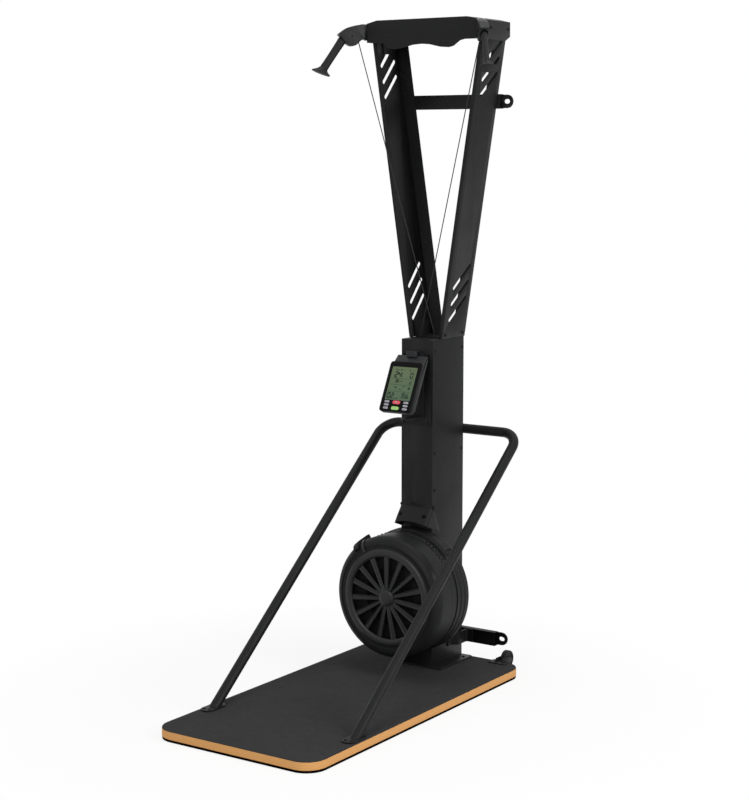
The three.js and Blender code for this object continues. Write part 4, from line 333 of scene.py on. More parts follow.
# The frames of the hoods: their root on the head's corners and their turn about Z. The other places are
# in that frame, and the outlines are shares of the hood's length and height and of the grip's sizes
HOOD_ROOT = np.array([0.224, 0.416, 2.158])
HOOD_SPLAY = math.radians(40.0)
PULLEY_PLACE = (0.044, 0.0, -0.016)
CORD_ON_PULLEY = 0.0185
GRIP_TILT = math.radians(34.3)
GRIP_START = 0.026
GRIP_SEAM = 0.845
GRIP_SEAM_WIDTH = 0.006
GRIP_SEAM_SHARE = 0.05
FLARE_SHARES = (0.78, 0.98)
FLARE_TURN = math.radians(13.0)
PULLEY_BORE = 0.0043
HOOD_SCREW = (0.009, 0.008, 0.0226)
HOOD_SCREW_RADIUS = 0.0028
CORD_WAY_X = (0.015, 0.028)
CORD_WAY_HALF = 0.012
CORD_WAY_Z = (-0.100, -0.0125)
HOOD_OUTLINE_SHARE = (
    (0.0, -0.53), (0.14, -0.58), (0.3, -0.85), (0.44, -0.965), (0.58, -0.95), (0.74, -0.76), (1.0, -0.25),
)
HOOD_TOP_SHARE = (
    (0.985, -0.18), (0.79, 0.08), (0.66, 0.21), (0.5, 0.31), (0.34, 0.38), (0.12, 0.44), (0.0, 0.46),
)
GRIP_SHARE = (
    (0.0, 0.80, 0.80), (0.012, 0.93, 0.93), (0.05, 1.04, 1.05), (0.12, 1.0, 1.0), (0.45, 0.95, 0.97),
    (0.8, 0.97, 1.02), (0.875, 1.12, 1.3), (0.93, 1.62, 2.1), (0.965, 2.16, 2.87), (0.985, 2.3, 3.04),
    (0.997, 2.27, 3.0), (1.0, 2.18, 2.88),
)

# The frame of the console's face: local +Y goes into the case, local +Z up along the face
CONSOLE_PLACE = np.array([0.0, 0.2965, 0.9965])
CONSOLE_TILT = math.radians(25.8)
SCREEN_SURFACE = 0.0012
INK_SINK = 0.0001
INK_RISE = 0.0002
DIGIT_RISE = 0.00025
SCREEN_MIDDLE = 0.016
BEZEL_WIDTH = 0.1235
BEZEL_HEIGHT = 0.175
BEZEL_MIDDLE = 0.0045
BEZEL_CORNER = 0.011
BEZEL_EDGE = 0.0016
BEZEL_DEPTH = 0.006
BEZEL_STEP_SHARE = 0.3
WINDOW_WIDTH = 0.0985
WINDOW_HEIGHT = 0.1165
WINDOW_CORNER = 0.002

# The case's ribs and tab, the keys' room, stand and marks
RIB_DEPTHS = (0.0135, 0.0205)
RIB_WIDTH = 0.0022
RIB_LENGTH = 0.150
RIB_SINK = 0.0004
RIB_RISE = 0.0007
RIB_EDGE = 0.0004
TAB_WIDTH = 0.040
TAB_DEPTH = 0.012
TAB_RISE = 0.015
TAB_SINK = 0.004
TAB_BACK = 0.004
TAB_CORNER = 0.004
TAB_EDGE = 0.001
BEZEL_REACH = 0.012
KEY_ROOM = 0.0008
KEY_BACK = 0.005
KEY_PROUD = 0.0016
KEY_EDGE = 0.0007
STOP_MARK = 0.0048
START_MARK = ((-0.0024, -0.0028), (0.0034, 0.0), (-0.0024, 0.0028))
DASH_STEPS_PER_KEY = 4.5
DASH_SHARE = 0.66
DASH_HEIGHT = 0.0015
MARK_CORNER = 0.0005
DASH_CORNER = 0.0004

# Digits: shares of a digit's height for its width, its bars' thickness and the step to the next digit, and
# the share of a bar's thickness that is left free at its ends
DIGIT_WIDTH_SHARE = 0.56
DIGIT_BAR_SHARE = 0.24
DIGIT_STEP_SHARE = 0.8
DIGIT_FREE_SHARE = 0.25

# Lit bars of a digit: 0 top, 1 and 2 upper left and right, 3 middle, 4 and 5 lower left and right, 6 bottom
DIGIT_BARS = {
    "0": (0, 1, 2, 4, 5, 6), "1": (2, 5), "2": (0, 2, 3, 4, 6), "3": (0, 2, 3, 5, 6), "4": (1, 2, 3, 5),
    "5": (0, 1, 3, 5, 6), "6": (0, 1, 3, 4, 5, 6), "7": (0, 2, 5), "8": (0, 1, 2, 3, 4, 5, 6),
}

# What the display shows, from its middle: digits as (text, left, middle, height), and plain bars
DISPLAY_NUMBERS = (
    ("24", -0.033, 0.030, 0.019), ("0", 0.027, 0.030, 0.017), ("5", 0.020, 0.047, 0.007),
    ("36", -0.026, 0.008, 0.010), ("12", 0.025, 0.004, 0.009), ("4", -0.022, -0.015, 0.011),
    ("18", 0.026, -0.015, 0.008), ("02", -0.042, -0.043, 0.017), ("356", 0.010, -0.043, 0.013),
)
DISPLAY_BARS = (
    (-0.034, 0.048, 0.012, 0.0022), (-0.016, 0.048, 0.010, 0.0022), (0.032, 0.047, 0.008, 0.0020),
    (-0.044, 0.0165, 0.088, 0.0008), (-0.044, -0.0045, 0.088, 0.0008), (-0.044, -0.028, 0.088, 0.0008),
    (-0.010, 0.008, 0.014, 0.0018), (0.006, -0.010, 0.012, 0.0018), (-0.006, -0.020, 0.010, 0.0018),
    (-0.044, -0.0325, 0.010, 0.0018), (0.010, -0.0325, 0.014, 0.0018), (-0.016, -0.052, 0.016, 0.0018),
)

# Keys: node, place on the face, length, width and finish
SIDE_KEY_X = 0.037
SIDE_KEY_TOP = -0.049
SIDE_KEY_PITCH = 0.011
SIDE_KEY = (0.018, 0.007)
STOP_KEY_Z = -0.050
START_KEY_Z = -0.070
MIDDLE_KEY = (0.029, 0.0118)
KEYS = [
    (f"{side}_{row}_key", sign * SIDE_KEY_X, SIDE_KEY_TOP - SIDE_KEY_PITCH * order, *SIDE_KEY, "key_white")
    for side, sign in SIDES.items()
    for order, row in enumerate(("upper", "middle", "lower"))
]
KEYS += [
    ("stop_key", 0.0, STOP_KEY_Z, *MIDDLE_KEY, "key_red"),
    ("start_key", 0.0, START_KEY_Z, *MIDDLE_KEY, "key_green"),
]

# Transport wheels: bore, tread edge, hub radii, the rim's distances from the tread, and the recess's depth
WHEEL_BORE = 0.0053
WHEEL_EDGE = 0.004
WHEEL_HUB = (0.011, 0.0125)
WHEEL_RIM = (0.010, 0.0085)
WHEEL_RECESS = 0.003

# The cords' way in at the column's top and their places on the drums, for the left and the right
CORD_ENTRY_X = 0.033
CORD_ENTRY_Y = 0.465
CORD_ENTRY_SPREAD = 0.0035
CORD_DRUM_X = 0.036
CORD_DRUM_Y = {"left": 0.4352, "right": 0.4692}

# The stage: the floor, lamps as (name, place, size, power), and the photograph's camera
FLOOR_LEVEL = -0.001
FLOOR_ROUGHNESS = 0.9
FLOOR_FADE = (0.6, 1.5)
FLOOR_WHITE_SHARES = (0.86, 1.0)
LAMPS = (
    ("key", (4.4, -0.4, 2.6), 2.4, 120.0),
    ("fill", (0.6, -5.2, 2.6), 2.6, 75.0),
    ("overhead", (0.3, 0.2, 5.2), 3.0, 55.0),
)
CAMERA_PLACE = (3.2163, -4.5715, 1.7653)
CAMERA_AIM = (-0.5582, 0.8182, -0.1374)
CAMERA_SHIFT = (0.0011, 0.0004)
FILM_HEIGHT = 36.0
VIEW_END = 100.0


# Sizes and colours that a user may change
def length(label, words, default):
    """A length in metres with its label and description."""
    return FloatProperty(name=label, description=words, default=default, min=0.0, unit="LENGTH", precision=4)


def colour(label, words, default):
    """A linear colour with its label and description."""
    return FloatVectorProperty(
        name=label, description=words, default=default, min=0.0, max=1.0, size=3, subtype="COLOR"
    )


class TrainerFinish(bpy.types.PropertyGroup):
    steel: colour("Powder coat", "Colour of the coated steel", (0.0085, 0.0087, 0.0092))
    plastic: colour("Moulded plastic", "Colour of the fan housing", (0.0095, 0.0098, 0.0103))
    rubber: colour("Rubber", "Colour of grips, wheels and pad", (0.0080, 0.0080, 0.0084))
    mat: colour("Mat", "Colour of the top mat", (0.0400, 0.0400, 0.0408))
    wood: colour("Plywood", "Colour of the board's edge", (0.68, 0.36, 0.135))
    zinc: colour("Zinc plate", "Colour of plated straps and mesh", (0.030, 0.031, 0.033))
    bright: colour("Bright steel", "Colour of bare steel", (0.42, 0.43, 0.45))
    screen: colour("Display", "Ground colour of the display", (0.088, 0.138, 0.070))
    ink: colour("Display digits", "Colour of the display's digits", (0.003, 0.009, 0.006))
    white: colour("White keys", "Colour of the side keys and the marks", (0.40, 0.39, 0.43))
    red: colour("Stop key", "Colour of the stop key", (0.72, 0.085, 0.105))
    green: colour("Start key", "Colour of the start key", (0.33, 0.60, 0.16))


class TrainerPlatform(bpy.types.PropertyGroup):
    width: length("Width", "Width of the platform", 0.600)
    depth: length("Length", "Length of the platform", 1.215)
    corner: length("Corner radius", "Radius of the platform's corners", 0.068)
    pad_inset: length("Pad inset", "How far the base pad stays inside the board", 0.001)
    mat_inset: length("Mat inset", "How far the mat stays inside the board", 0.001)
    foot_width: length("Foot width", "Width of the hoop's foot plates", 0.046)
    foot_length: length("Foot length", "Length of the hoop's foot plates", 0.096)


class TrainerFan(bpy.types.PropertyGroup):
    wall: length("Wall", "Wall of the fan's mouldings", 0.0035)
    shoulder: length("Shoulder", "Radius of the front shell's shoulder", 0.030)
    groove_radius: length("Groove radius", "Radius of the groove round the grille", 0.176)
    groove_width: length("Groove width", "Width of the groove round the grille", 0.008)
    groove_depth: length("Groove depth", "Depth of the groove round the grille", 0.003)
    opening: length("Grille opening", "Inner radius of the grille's ring", 0.138)
    hub: length("Hub radius", "Radius of the grille's hub", 0.028)
    spokes: IntProperty(name="Spokes", description="Number of grille spokes", default=15, min=3, max=40)
    spoke_root: length("Spoke root", "Width of a spoke at the hub", 0.012)
    spoke_tip: length("Spoke tip", "Width of a spoke at the ring", 0.019)
    spoke_depth: length("Spoke depth", "Depth of a spoke", 0.006)
    wire_pitch: length("Wire pitch", "Spacing of the fine screen's wires", 0.0052)
    wire_width: length("Wire width", "Thickness of the fine screen's wires", 0.0009)
    outlet_rise: length("Outlet rise", "Height of the outlet on the rear shell", 0.009)
    bar_gap: length("Bar gap", "Gap between the damper's bar and the shell", 0.0006)
    bar_thickness: length("Bar thickness", "Thickness of the damper's bar", 0.0026)
    bar_width: length("Bar width", "Width of the damper's bar", 0.010)
    bore: length("Axle bore", "Radius of the hole in the rear shell's back", 0.0135)
    teeth: IntProperty(name="Teeth", description="Number of vent band teeth", default=27, min=1, max=90)
    tooth_rise: length("Tooth rise", "Height of the teeth over the vent band", 0.0042)
    tooth_width: length("Tooth width", "Width of a tooth round the band", 0.0062)


class TrainerTube(bpy.types.PropertyGroup):
    hoop_radius: length("Hoop radius", "Radius of the support hoop's tube", 0.0165)
    hoop_bend: length("Hoop bend", "Bend radius of the support hoop", 0.064)
    hoop_foot_y: FloatProperty(
        name="Hoop foot", description="Place of the hoop's feet along Y", default=-0.343, unit="LENGTH"
    )
    cord_radius: length("Cord radius", "Radius of the pull cords", 0.0017)
    cord_bend: length("Cord bend", "Bend radius of a cord at the column's top", 0.030)
    strap_thickness: length("Strap thickness", "Thickness of the wall straps", 0.004)
    strap_bend: length("Strap bend", "Bend radius of the wall straps", 0.008)


class TrainerHood(bpy.types.PropertyGroup):
    reach: length("Hood length", "Length of a hood from its root to its lip", 0.090)
    height: length("Hood height", "Scale of a hood's outline upwards", 0.050)
    width: length("Hood width", "Width of a hood", 0.030)
    wall: length("Hood wall", "Wall of a hood", 0.003)
    edge: length("Hood edge", "Rounding of a hood's side edges", 0.0028)
    pulley_radius: length("Pulley radius", "Outer radius of a hood's pulley", 0.020)
    pulley_rim: length("Pulley rim", "Depth of a pulley's groove", 0.0035)
    pulley_width: length("Pulley width", "Width of a pulley", 0.012)
    grip_length: length("Grip length", "Length of a grip", 0.134)
    grip_depth: length("Grip depth", "Depth of a grip's oval", 0.028)
    grip_width: length("Grip width", "Width of a grip's oval", 0.018)
    mouth_gap: length("Mouth gap", "Room round the grip in the hood's mouth", 0.00175)


class TrainerStage(bpy.types.PropertyGroup):
    floor: colour("Floor", "Colour of the floor", (0.90, 0.90, 0.90))
    floor_reach: length("Floor reach", "Half width of the floor", 30.0)
    ambient: FloatProperty(name="Ambient", description="Strength of the world as a light", default=0.42)
    lens: FloatProperty(name="Lens", description="Focal length of the camera", default=80.8, unit="CAMERA")


# Meshes from arrays
def finish_mesh(mesh, smooth_angle=CRISP_ANGLE):
    """Merges doubles, points faces outwards and keeps edges sharper than the angle crisp."""
    work = bmesh.new()
    work.from_mesh(mesh)
    bmesh.ops.remove_doubles(work, verts=work.verts, dist=MERGE_DISTANCE)
    bmesh.ops.dissolve_degenerate(work, edges=work.edges, dist=MERGE_DISTANCE / 10)
    bmesh.ops.recalc_face_normals(work, faces=work.faces)
    work.to_mesh(mesh)
    work.free()
    mesh.shade_smooth()
    mesh.set_sharp_from_angle(angle=math.radians(smooth_angle))
    return mesh


def mesh_of(name, shape):
    """A mesh from one (vertices, faces) pair."""
    points, polygons = shape
    mesh = bpy.data.meshes.new(name)
    faces = [list(map(int, polygon)) for polygon in polygons]
    mesh.from_pydata(np.asarray(points, float).tolist(), [], faces)
    return mesh


def linked(name, data):
    """A new object of the data, linked to the scene."""
    made = bpy.data.objects.new(name, data)
    bpy.context.scene.collection.objects.link(made)
    return made


def show(name, mesh, material, body, slot, replaced=()):
    """Shows a mesh as one object at the origin, with its finish, riding on a body."""
    mesh.materials.clear()
    mesh.materials.append(finish_of(material))
    made = linked(name, mesh)
    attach(made, body)
    if replaced:
        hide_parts(*replaced)
    return made


def add_piece(name, shape, material, body="frame", replaced=(), slot=None, smooth_angle=CRISP_ANGLE):
    """Makes one piece from a (vertices, faces) pair; the slot argument, its material's name unless told, is
    not used.
    """
    mesh = finish_mesh(mesh_of(name, shape), smooth_angle)
    return show(name, mesh, material, body, slot or material, replaced)


def grid_faces(rows, columns, close_rows=False, close_columns=False):
    """Quads between neighbours of a rows by columns grid, with either direction closed on itself."""
    last_row = rows if close_rows else rows - 1
    last_column = columns if close_columns else columns - 1
    row, column = np.meshgrid(np.arange(last_row), np.arange(last_column), indexing="ij")
    next_row, next_column = (row + 1) % rows, (column + 1) % columns
    corners = [row * columns + column, row * columns + next_column]
    corners += [next_row * columns + next_column, next_row * columns + column]
    return np.stack(corners, axis=-1).reshape(-1, 4)


def loft(rings):
    """A closed skin over rings of equally many points, with a cap on the first and on the last ring."""
    rings = np.asarray(rings, float)
    count, sides = rings.shape[:2]
    first = list(range(sides))
    last = list(range((count - 1) * sides, count * sides))
    return rings.reshape(-1, 3), [*grid_faces(count, sides, False, True).tolist(), first, last]


def joined(parts):
    """Several (vertices, faces) pairs as one pair; faces are lists, so their lengths may differ."""
    vertices, faces, start = [], [], 0
    for points, polygons in parts:
        points = np.asarray(points, float).reshape(-1, 3)
        vertices.append(points)
        faces.extend([[int(k) + start for k in polygon] for polygon in polygons])
        start += len(points)
    return np.concatenate(vertices), faces


def full_turn(count):
    """Evenly spaced angles round a full turn."""
    return np.linspace(0, 2 * math.pi, count, endpoint=False)


def at_level(outline, level):
    """A 2-D outline as 3-D points at one level along Z."""
    return np.column_stack([outline, np.full(len(outline), level)])


def basis(axis):
    """Unit vectors across an axis, upwards across it and along it: X, Z and Y for an axis along Y."""
    axis = np.asarray(axis, float) / np.linalg.norm(axis)
    steep = abs(axis[2]) >= math.cos(math.radians(STEEP_ANGLE))
    helper = np.array([0.0, 1.0, 0.0]) if steep else np.array([0.0, 0.0, 1.0])
    across = np.cross(axis, helper)
    across /= np.linalg.norm(across)
    return across, np.cross(across, axis), axis


def arc(centre, radius, start, end, steps):
    """Points on a circle about a 2-D centre: centre + radius (sin a, -cos a) for a from start to end."""
    angle = np.radians(np.linspace(start, end, steps + 1))
    return np.stack([centre[0] + radius * np.sin(angle), centre[1] - radius * np.cos(angle)], axis=1)


def turned(profile, centre, axis=(0, 1, 0), sides=ROUND_SIDES, closed=True):
    """Turns [radius, along] points about an axis: centre + r (across sin t + up cos t) + along axis."""
    profile = np.asarray(profile, float)
    turn = full_turn(sides)[:, None]
    across, upwards, axis = basis(axis)
    circle = np.sin(turn) * across + np.cos(turn) * upwards
    points = np.asarray(centre) + profile[:, :1, None] * circle + (profile[:, 1:] * axis)[:, None]
    return points.reshape(-1, 3), grid_faces(len(profile), sides, closed, True)


def unit_runs(path):
    """The direction at each point of a path: the mean of the unit runs before and after it."""
    run = np.diff(path, axis=0)
    run /= np.linalg.norm(run, axis=1, keepdims=True)
    tangent = np.concatenate([run[:1], run[1:] + run[:-1], run[-1:]])
    return tangent / np.linalg.norm(tangent, axis=1, keepdims=True)


def side_normals(path):
    """Unit normals to the left of a 2-D path."""
    tangent = unit_runs(path)
    return np.stack([-tangent[:, 1], tangent[:, 0]], axis=1)


def swept(path, radius, sides=PART_SIDES):
    """A round tube: a circle of the radius at each path point, on a frame that turns as little as it can."""
    path = np.asarray(path, float)
    tangent = unit_runs(path)
    side = basis(tangent[0])[0]
    frames = []
    for direction in tangent:
        side = side - direction * (side @ direction)
        side /= np.linalg.norm(side)
        frames.append((side, np.cross(direction, side)))
    first, second = (np.array(axes)[:, None] for axes in zip(*frames))
    turn = full_turn(sides)[:, None]
    return loft(path[:, None] + radius * (first * np.cos(turn) + second * np.sin(turn)))


def rounded_corner(before, corner, after, radius, steps):
    """Points of a bend: an arc of the radius that touches both straight stretches at a corner."""
    before, corner, after = (np.asarray(point, float) for point in (before, corner, after))
    into, out = corner - before, after - corner
    into, out = into / np.linalg.norm(into), out / np.linalg.norm(out)
    turn = math.acos(float(into @ out))
    start = corner - into * radius * math.tan(turn / 2)
    normal = out - into * (into @ out)
    normal /= np.linalg.norm(normal)
    angle = np.linspace(0, turn, steps + 1)[:, None]
    return start + normal * radius * (1 - np.cos(angle)) + into * radius * np.sin(angle)


def rounded_path(points, radius, steps=CORNER_STEPS):
    """A path with every inner corner rounded to the radius."""
    points = [np.asarray(point, float) for point in points]
    bends = [rounded_corner(*points[k - 1 : k + 2], radius, steps) for k in range(1, len(points) - 1)]
    return np.concatenate([points[:1], *bends, points[-1:]])


def smooth_curve(points, steps):
    """A smooth curve through points: each stretch is a cubic with the neighbours' chords as slopes."""
    points = np.asarray(points, float)
    padded = np.concatenate([2 * points[:1] - points[1:2], points, 2 * points[-1:] - points[-2:-1]])
    slope = (padded[2:] - padded[:-2]) / 2
    share = np.linspace(0, 1, steps, endpoint=False)[:, None]
    start, end = points[:-1, None], points[1:, None]
    curve = start * (1 - 3 * share**2 + 2 * share**3) + end * (3 * share**2 - 2 * share**3)
    curve = curve + slope[:-1, None] * (share - 2 * share**2 + share**3)
    curve = curve + slope[1:, None] * (share**3 - share**2)
    return np.concatenate([curve.reshape(-1, points.shape[1]), points[-1:]])


def smooth_step(value, low, high):
    """0 below low, 1 above high and 3 t^2 - 2 t^3 between them."""
    share = np.clip((value - low) / (high - low), 0, 1)
    return share * share * (3 - 2 * share)


def rounded_rectangle(width, depth, radius, steps=CORNER_STEPS):
    """Points round a rectangle with quarter-circle corners; half the depth as radius gives round ends."""
    angle = np.radians(np.linspace(0, 90, steps + 1))
    corners = []
    for quarter, (right, far) in enumerate(((1, 1), (-1, 1), (-1, -1), (1, -1))):
        turn = angle + quarter * math.pi / 2
        middle = np.array([right * (width / 2 - radius), far * (depth / 2 - radius)])
        corners.append(middle + radius * np.stack([np.cos(turn), np.sin(turn)], axis=1))
    return np.concatenate(corners)


def edge_rows(low, high, edge):
    """Rows (inset, level) of a plate whose edges at low and high are quarter circles of the edge radius."""
    angle = np.linspace(0, math.pi / 2, EDGE_STEPS + 1)
    inset = edge * (1 - np.sin(angle))
    rise = edge * (1 - np.cos(angle))
    return [*zip(inset, low + rise), *zip(inset[::-1], high - rise[::-1])]


def slab(width, depth, radius, low, high, edge):
    """A plate of stacked rounded rectangles with rounded edges at both faces."""
    rings = []
    for draw, level in edge_rows(low, high, edge):
        ring = rounded_rectangle(width - 2 * draw, depth - 2 * draw, radius - draw)
        rings.append(at_level(ring, level))
    return loft(rings)


def prism(outline, low, high):
    """A plain-edged plate over a 2-D outline, from low to high."""
    outline = np.asarray(outline, float)
    return loft([at_level(outline, level) for level in (low, high)])


def offset_outline(outline, distance):
    """A closed 2-D outline drawn in by a distance along the mean normal of its neighbouring runs."""
    run = np.roll(outline, -1, axis=0) - outline
    run /= np.linalg.norm(run, axis=1, keepdims=True)
    mean = run + np.roll(run, 1, axis=0)
    mean /= np.linalg.norm(mean, axis=1, keepdims=True)
    following = np.roll(outline, -1, axis=0)
    area = np.sum(outline[:, 0] * following[:, 1] - outline[:, 1] * following[:, 0])
    normal = np.stack([-mean[:, 1], mean[:, 0]], axis=1) * np.sign(area)
    widen = 1 / np.maximum(np.abs(np.sum(mean * run, axis=1, keepdims=True)), 0.5)
    return outline + normal * distance * widen


def carved(name, shape, cutters):
    """A closed shape with other closed shapes cut away from it, as one finished mesh."""
    made = linked(name, finish_mesh(mesh_of(name, shape)))
    tools = []
    for number, cutter in enumerate(cutters):
        tool = linked(f"{name}_cutter_{number}", finish_mesh(mesh_of(f"{name}_cut", cutter)))
        cut = made.modifiers.new("cut", "BOOLEAN")
        cut.operation = "DIFFERENCE"
        cut.solver = "EXACT"
        cut.object = tool
        tools.append(tool)
    depsgraph = bpy.context.evaluated_depsgraph_get()
    mesh = bpy.data.meshes.new_from_object(made.evaluated_get(depsgraph))
    for used in (made, *tools):
        bpy.data.objects.remove(used)
    mesh.name = name
    return finish_mesh(mesh)


def rounded_copy(node, width):
    """A node's mesh, merged, its flat faces joined and its edges bevelled, in place of the node."""
    work = bmesh.new()
    work.from_mesh(NODES[node].data)
    if node in RAISED_TOPS:
        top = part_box(node)[1].z
        for vertex in work.verts:
            if vertex.co.z > top - TOP_BAND:
                vertex.co.z += RAISED_TOPS[node]
    bmesh.ops.remove_doubles(work, verts=work.verts, dist=NODE_MERGE_DISTANCE)
    flat = math.radians(FLAT_ANGLE)
    bmesh.ops.dissolve_limit(work, angle_limit=flat, verts=work.verts, edges=work.edges)
    mesh = bpy.data.meshes.new(f"{node}_rounded")
    work.to_mesh(mesh)
    work.free()
    mesh.shade_smooth()
    finish = OWN_FINISH.get(node, SLOT_OF[node])
    made = show(f"{node}_rounded", mesh, finish, BODY_OF[node], SLOT_OF[node], [node])
    bevel = made.modifiers.new("rounding", "BEVEL")
    bevel.width = width
    bevel.segments = 2
    bevel.limit_method = "ANGLE"
    bevel.angle_limit = math.radians(BEVEL_ANGLE)
    bevel.harden_normals = True
    return made


def thicken(piece, wall, middle):
    """Gives a sheet its wall, inwards from its outer face, which is the one turned from the middle."""
    facing = sum(face.area * face.normal.dot(face.center - Vector(middle)) for face in piece.data.polygons)
    if facing < 0:
        piece.data.flip_normals()
    solid = piece.modifiers.new("wall", "SOLIDIFY")
    solid.thickness = wall
    solid.offset = -1


# Shader node groups and materials
def node_group(name, inputs, outputs):
    """An empty shader node group with its float and vector sockets, its input and its output node."""
    tree = bpy.data.node_groups.new(name, "ShaderNodeTree")
    for label, kind, default in inputs:
        made = tree.interface.new_socket(name=label, in_out="INPUT", socket_type=kind)
        if default is not None:
            made.default_value = default
    for label, kind in outputs:
        tree.interface.new_socket(name=label, in_out="OUTPUT", socket_type=kind)
    return tree, tree.nodes.new("NodeGroupInput"), tree.nodes.new("NodeGroupOutput")


def noise(tree, vector, scale, detail, roughness=0.6):
    """A noise texture on a vector socket; scale is a number or a socket."""
    node = tree.nodes.new("ShaderNodeTexNoise")
    node.inputs["Detail"].default_value = detail
    node.inputs["Roughness"].default_value = roughness
    tree.links.new(vector, node.inputs["Vector"])
    if isinstance(scale, (int, float)):
        node.inputs["Scale"].default_value = scale
    else:
        tree.links.new(scale, node.inputs["Scale"])
    return node.outputs["Fac"]


def map_range(tree, value, old, new, smooth=False):
    """A Map Range node from one (low, high) pair to another."""
    node = tree.nodes.new("ShaderNodeMapRange")
    node.interpolation_type = "SMOOTHSTEP" if smooth else "LINEAR"
    tree.links.new(value, node.inputs["Value"])
    for label, number in zip(("From Min", "From Max", "To Min", "To Max"), (*old, *new)):
        node.inputs[label].default_value = number
    return node.outputs["Result"]


def maths(tree, operation, first, second=None):
    """A Math node; each operand is a number or a socket."""
    node = tree.nodes.new("ShaderNodeMath")
    node.operation = operation
    for place, operand in enumerate((first, second)):
        if operand is None:
            continue
        if isinstance(operand, (int, float)):
            node.inputs[place].default_value = operand
        else:
            tree.links.new(operand, node.inputs[place])
    return node.outputs[0]


def mix_colour(tree, factor, first, second):
    """Mixes two colours, each a socket or three numbers, by a factor socket."""
    node = tree.nodes.new("ShaderNodeMix")
    node.data_type = "RGBA"
    tree.links.new(factor, node.inputs["Factor"])
    for label, value in (("A", first), ("B", second)):
        socket = next(s for s in node.inputs if s.name == label and s.type == "RGBA")
        if isinstance(value, bpy.types.NodeSocket):
            tree.links.new(value, socket)
        else:
            socket.default_value = (*value, 1.0)
    return next(s for s in node.outputs if s.type == "RGBA")


def make_grain_group():
    """Fine surface grain: a shade and a height from two noises, one ten times finer than the other."""
    tree, entry, out = node_group(
        "surface_grain",
        [("Position", "NodeSocketVector", None), ("Scale", "NodeSocketFloat", GRAIN_SCALE)],
        [("Shade", "NodeSocketFloat"), ("Height", "NodeSocketFloat")],
    )
    broad = maths(tree, "MULTIPLY", entry.outputs["Scale"], COARSE_SHARE)
    coarse = noise(tree, entry.outputs["Position"], broad, 3.0)
    fine = noise(tree, entry.outputs["Position"], entry.outputs["Scale"], 2.0)
    tree.links.new(map_range(tree, coarse, GRAIN_RANGE, (0.0, 1.0), True), out.inputs["Shade"])
    tree.links.new(fine, out.inputs["Height"])


def make_smudge_group():
    """Broad handling marks: a mask from one wide noise."""
    tree, entry, out = node_group(
        "handling_smudge",
        [("Position", "NodeSocketVector", None), ("Scale", "NodeSocketFloat", SMUDGE_SCALE)],
        [("Mask", "NodeSocketFloat")],
    )
    wide = noise(tree, entry.outputs["Position"], entry.outputs["Scale"], 4.0, 0.55)
    tree.links.new(map_range(tree, wide, SMUDGE_RANGE, (0.0, 1.0), True), out.inputs["Mask"])


def finish_of(name):
    """The finish made for a slot or an added piece."""
    return bpy.data.materials[f"{name}_finish"]


def start_material(name, specular=0.5):
    """A new node material with its tree, shader and Object coordinates."""
    made = bpy.data.materials.new(f"{name}_finish")
    made.use_nodes = True
    tree = made.node_tree
    shader = tree.nodes["Principled BSDF"]
    shader.inputs["Specular IOR Level"].default_value = specular
    return made, tree, shader, tree.nodes.new("ShaderNodeTexCoord").outputs["Object"]


def place_group(tree, name, **inputs):
    """Puts a node group in a material, with numbers or sockets for its inputs."""
    node = tree.nodes.new("ShaderNodeGroup")
    node.node_tree = bpy.data.node_groups[name]
    for label, value in inputs.items():
        if isinstance(value, (int, float)):
            node.inputs[label].default_value = value
        else:
            tree.links.new(value, node.inputs[label])
    return node


def relief(tree, shader, height, strength, distance):
    """Feeds a height to the shader's normal."""
    bump = tree.nodes.new("ShaderNodeBump")
    bump.inputs["Strength"].default_value = strength
    bump.inputs["Distance"].default_value = distance
    tree.links.new(height, bump.inputs["Height"])
    tree.links.new(bump.outputs["Normal"], shader.inputs["Normal"])


def tinted(base, share):
    """A colour times a share, or times a share for each channel."""
    return tuple(float(min(1.0, value)) for value in np.asarray(base) * share)


def feed(tree, shader, shade, roughness):
    """Feeds a colour and a roughness to the shader."""
    tree.links.new(shade, shader.inputs["Base Color"])
    tree.links.new(roughness, shader.inputs["Roughness"])


def coated(name, base, roughness, grain_scale, grain_depth, specular, metallic, contrast):
    """A painted, moulded or plated finish: fine grain, faint shade changes and broad smudges."""
    tree, shader, position = start_material(name, specular)[1:]
    grain = place_group(tree, "surface_grain", Position=position, Scale=grain_scale)
    smudge = place_group(tree, "handling_smudge", Position=position)
    shade = mix_colour(tree, grain.outputs["Shade"], tinted(base, 1 - contrast), tinted(base, 1 + contrast))
    less, more = SMUDGE_ROUGHNESS
    spread = map_range(tree, smudge.outputs["Mask"], (0.0, 1.0), (roughness - less, roughness + more))
    feed(tree, shader, shade, spread)
    shader.inputs["Metallic"].default_value = metallic
    relief(tree, shader, grain.outputs["Height"], COAT_RELIEF, grain_depth)


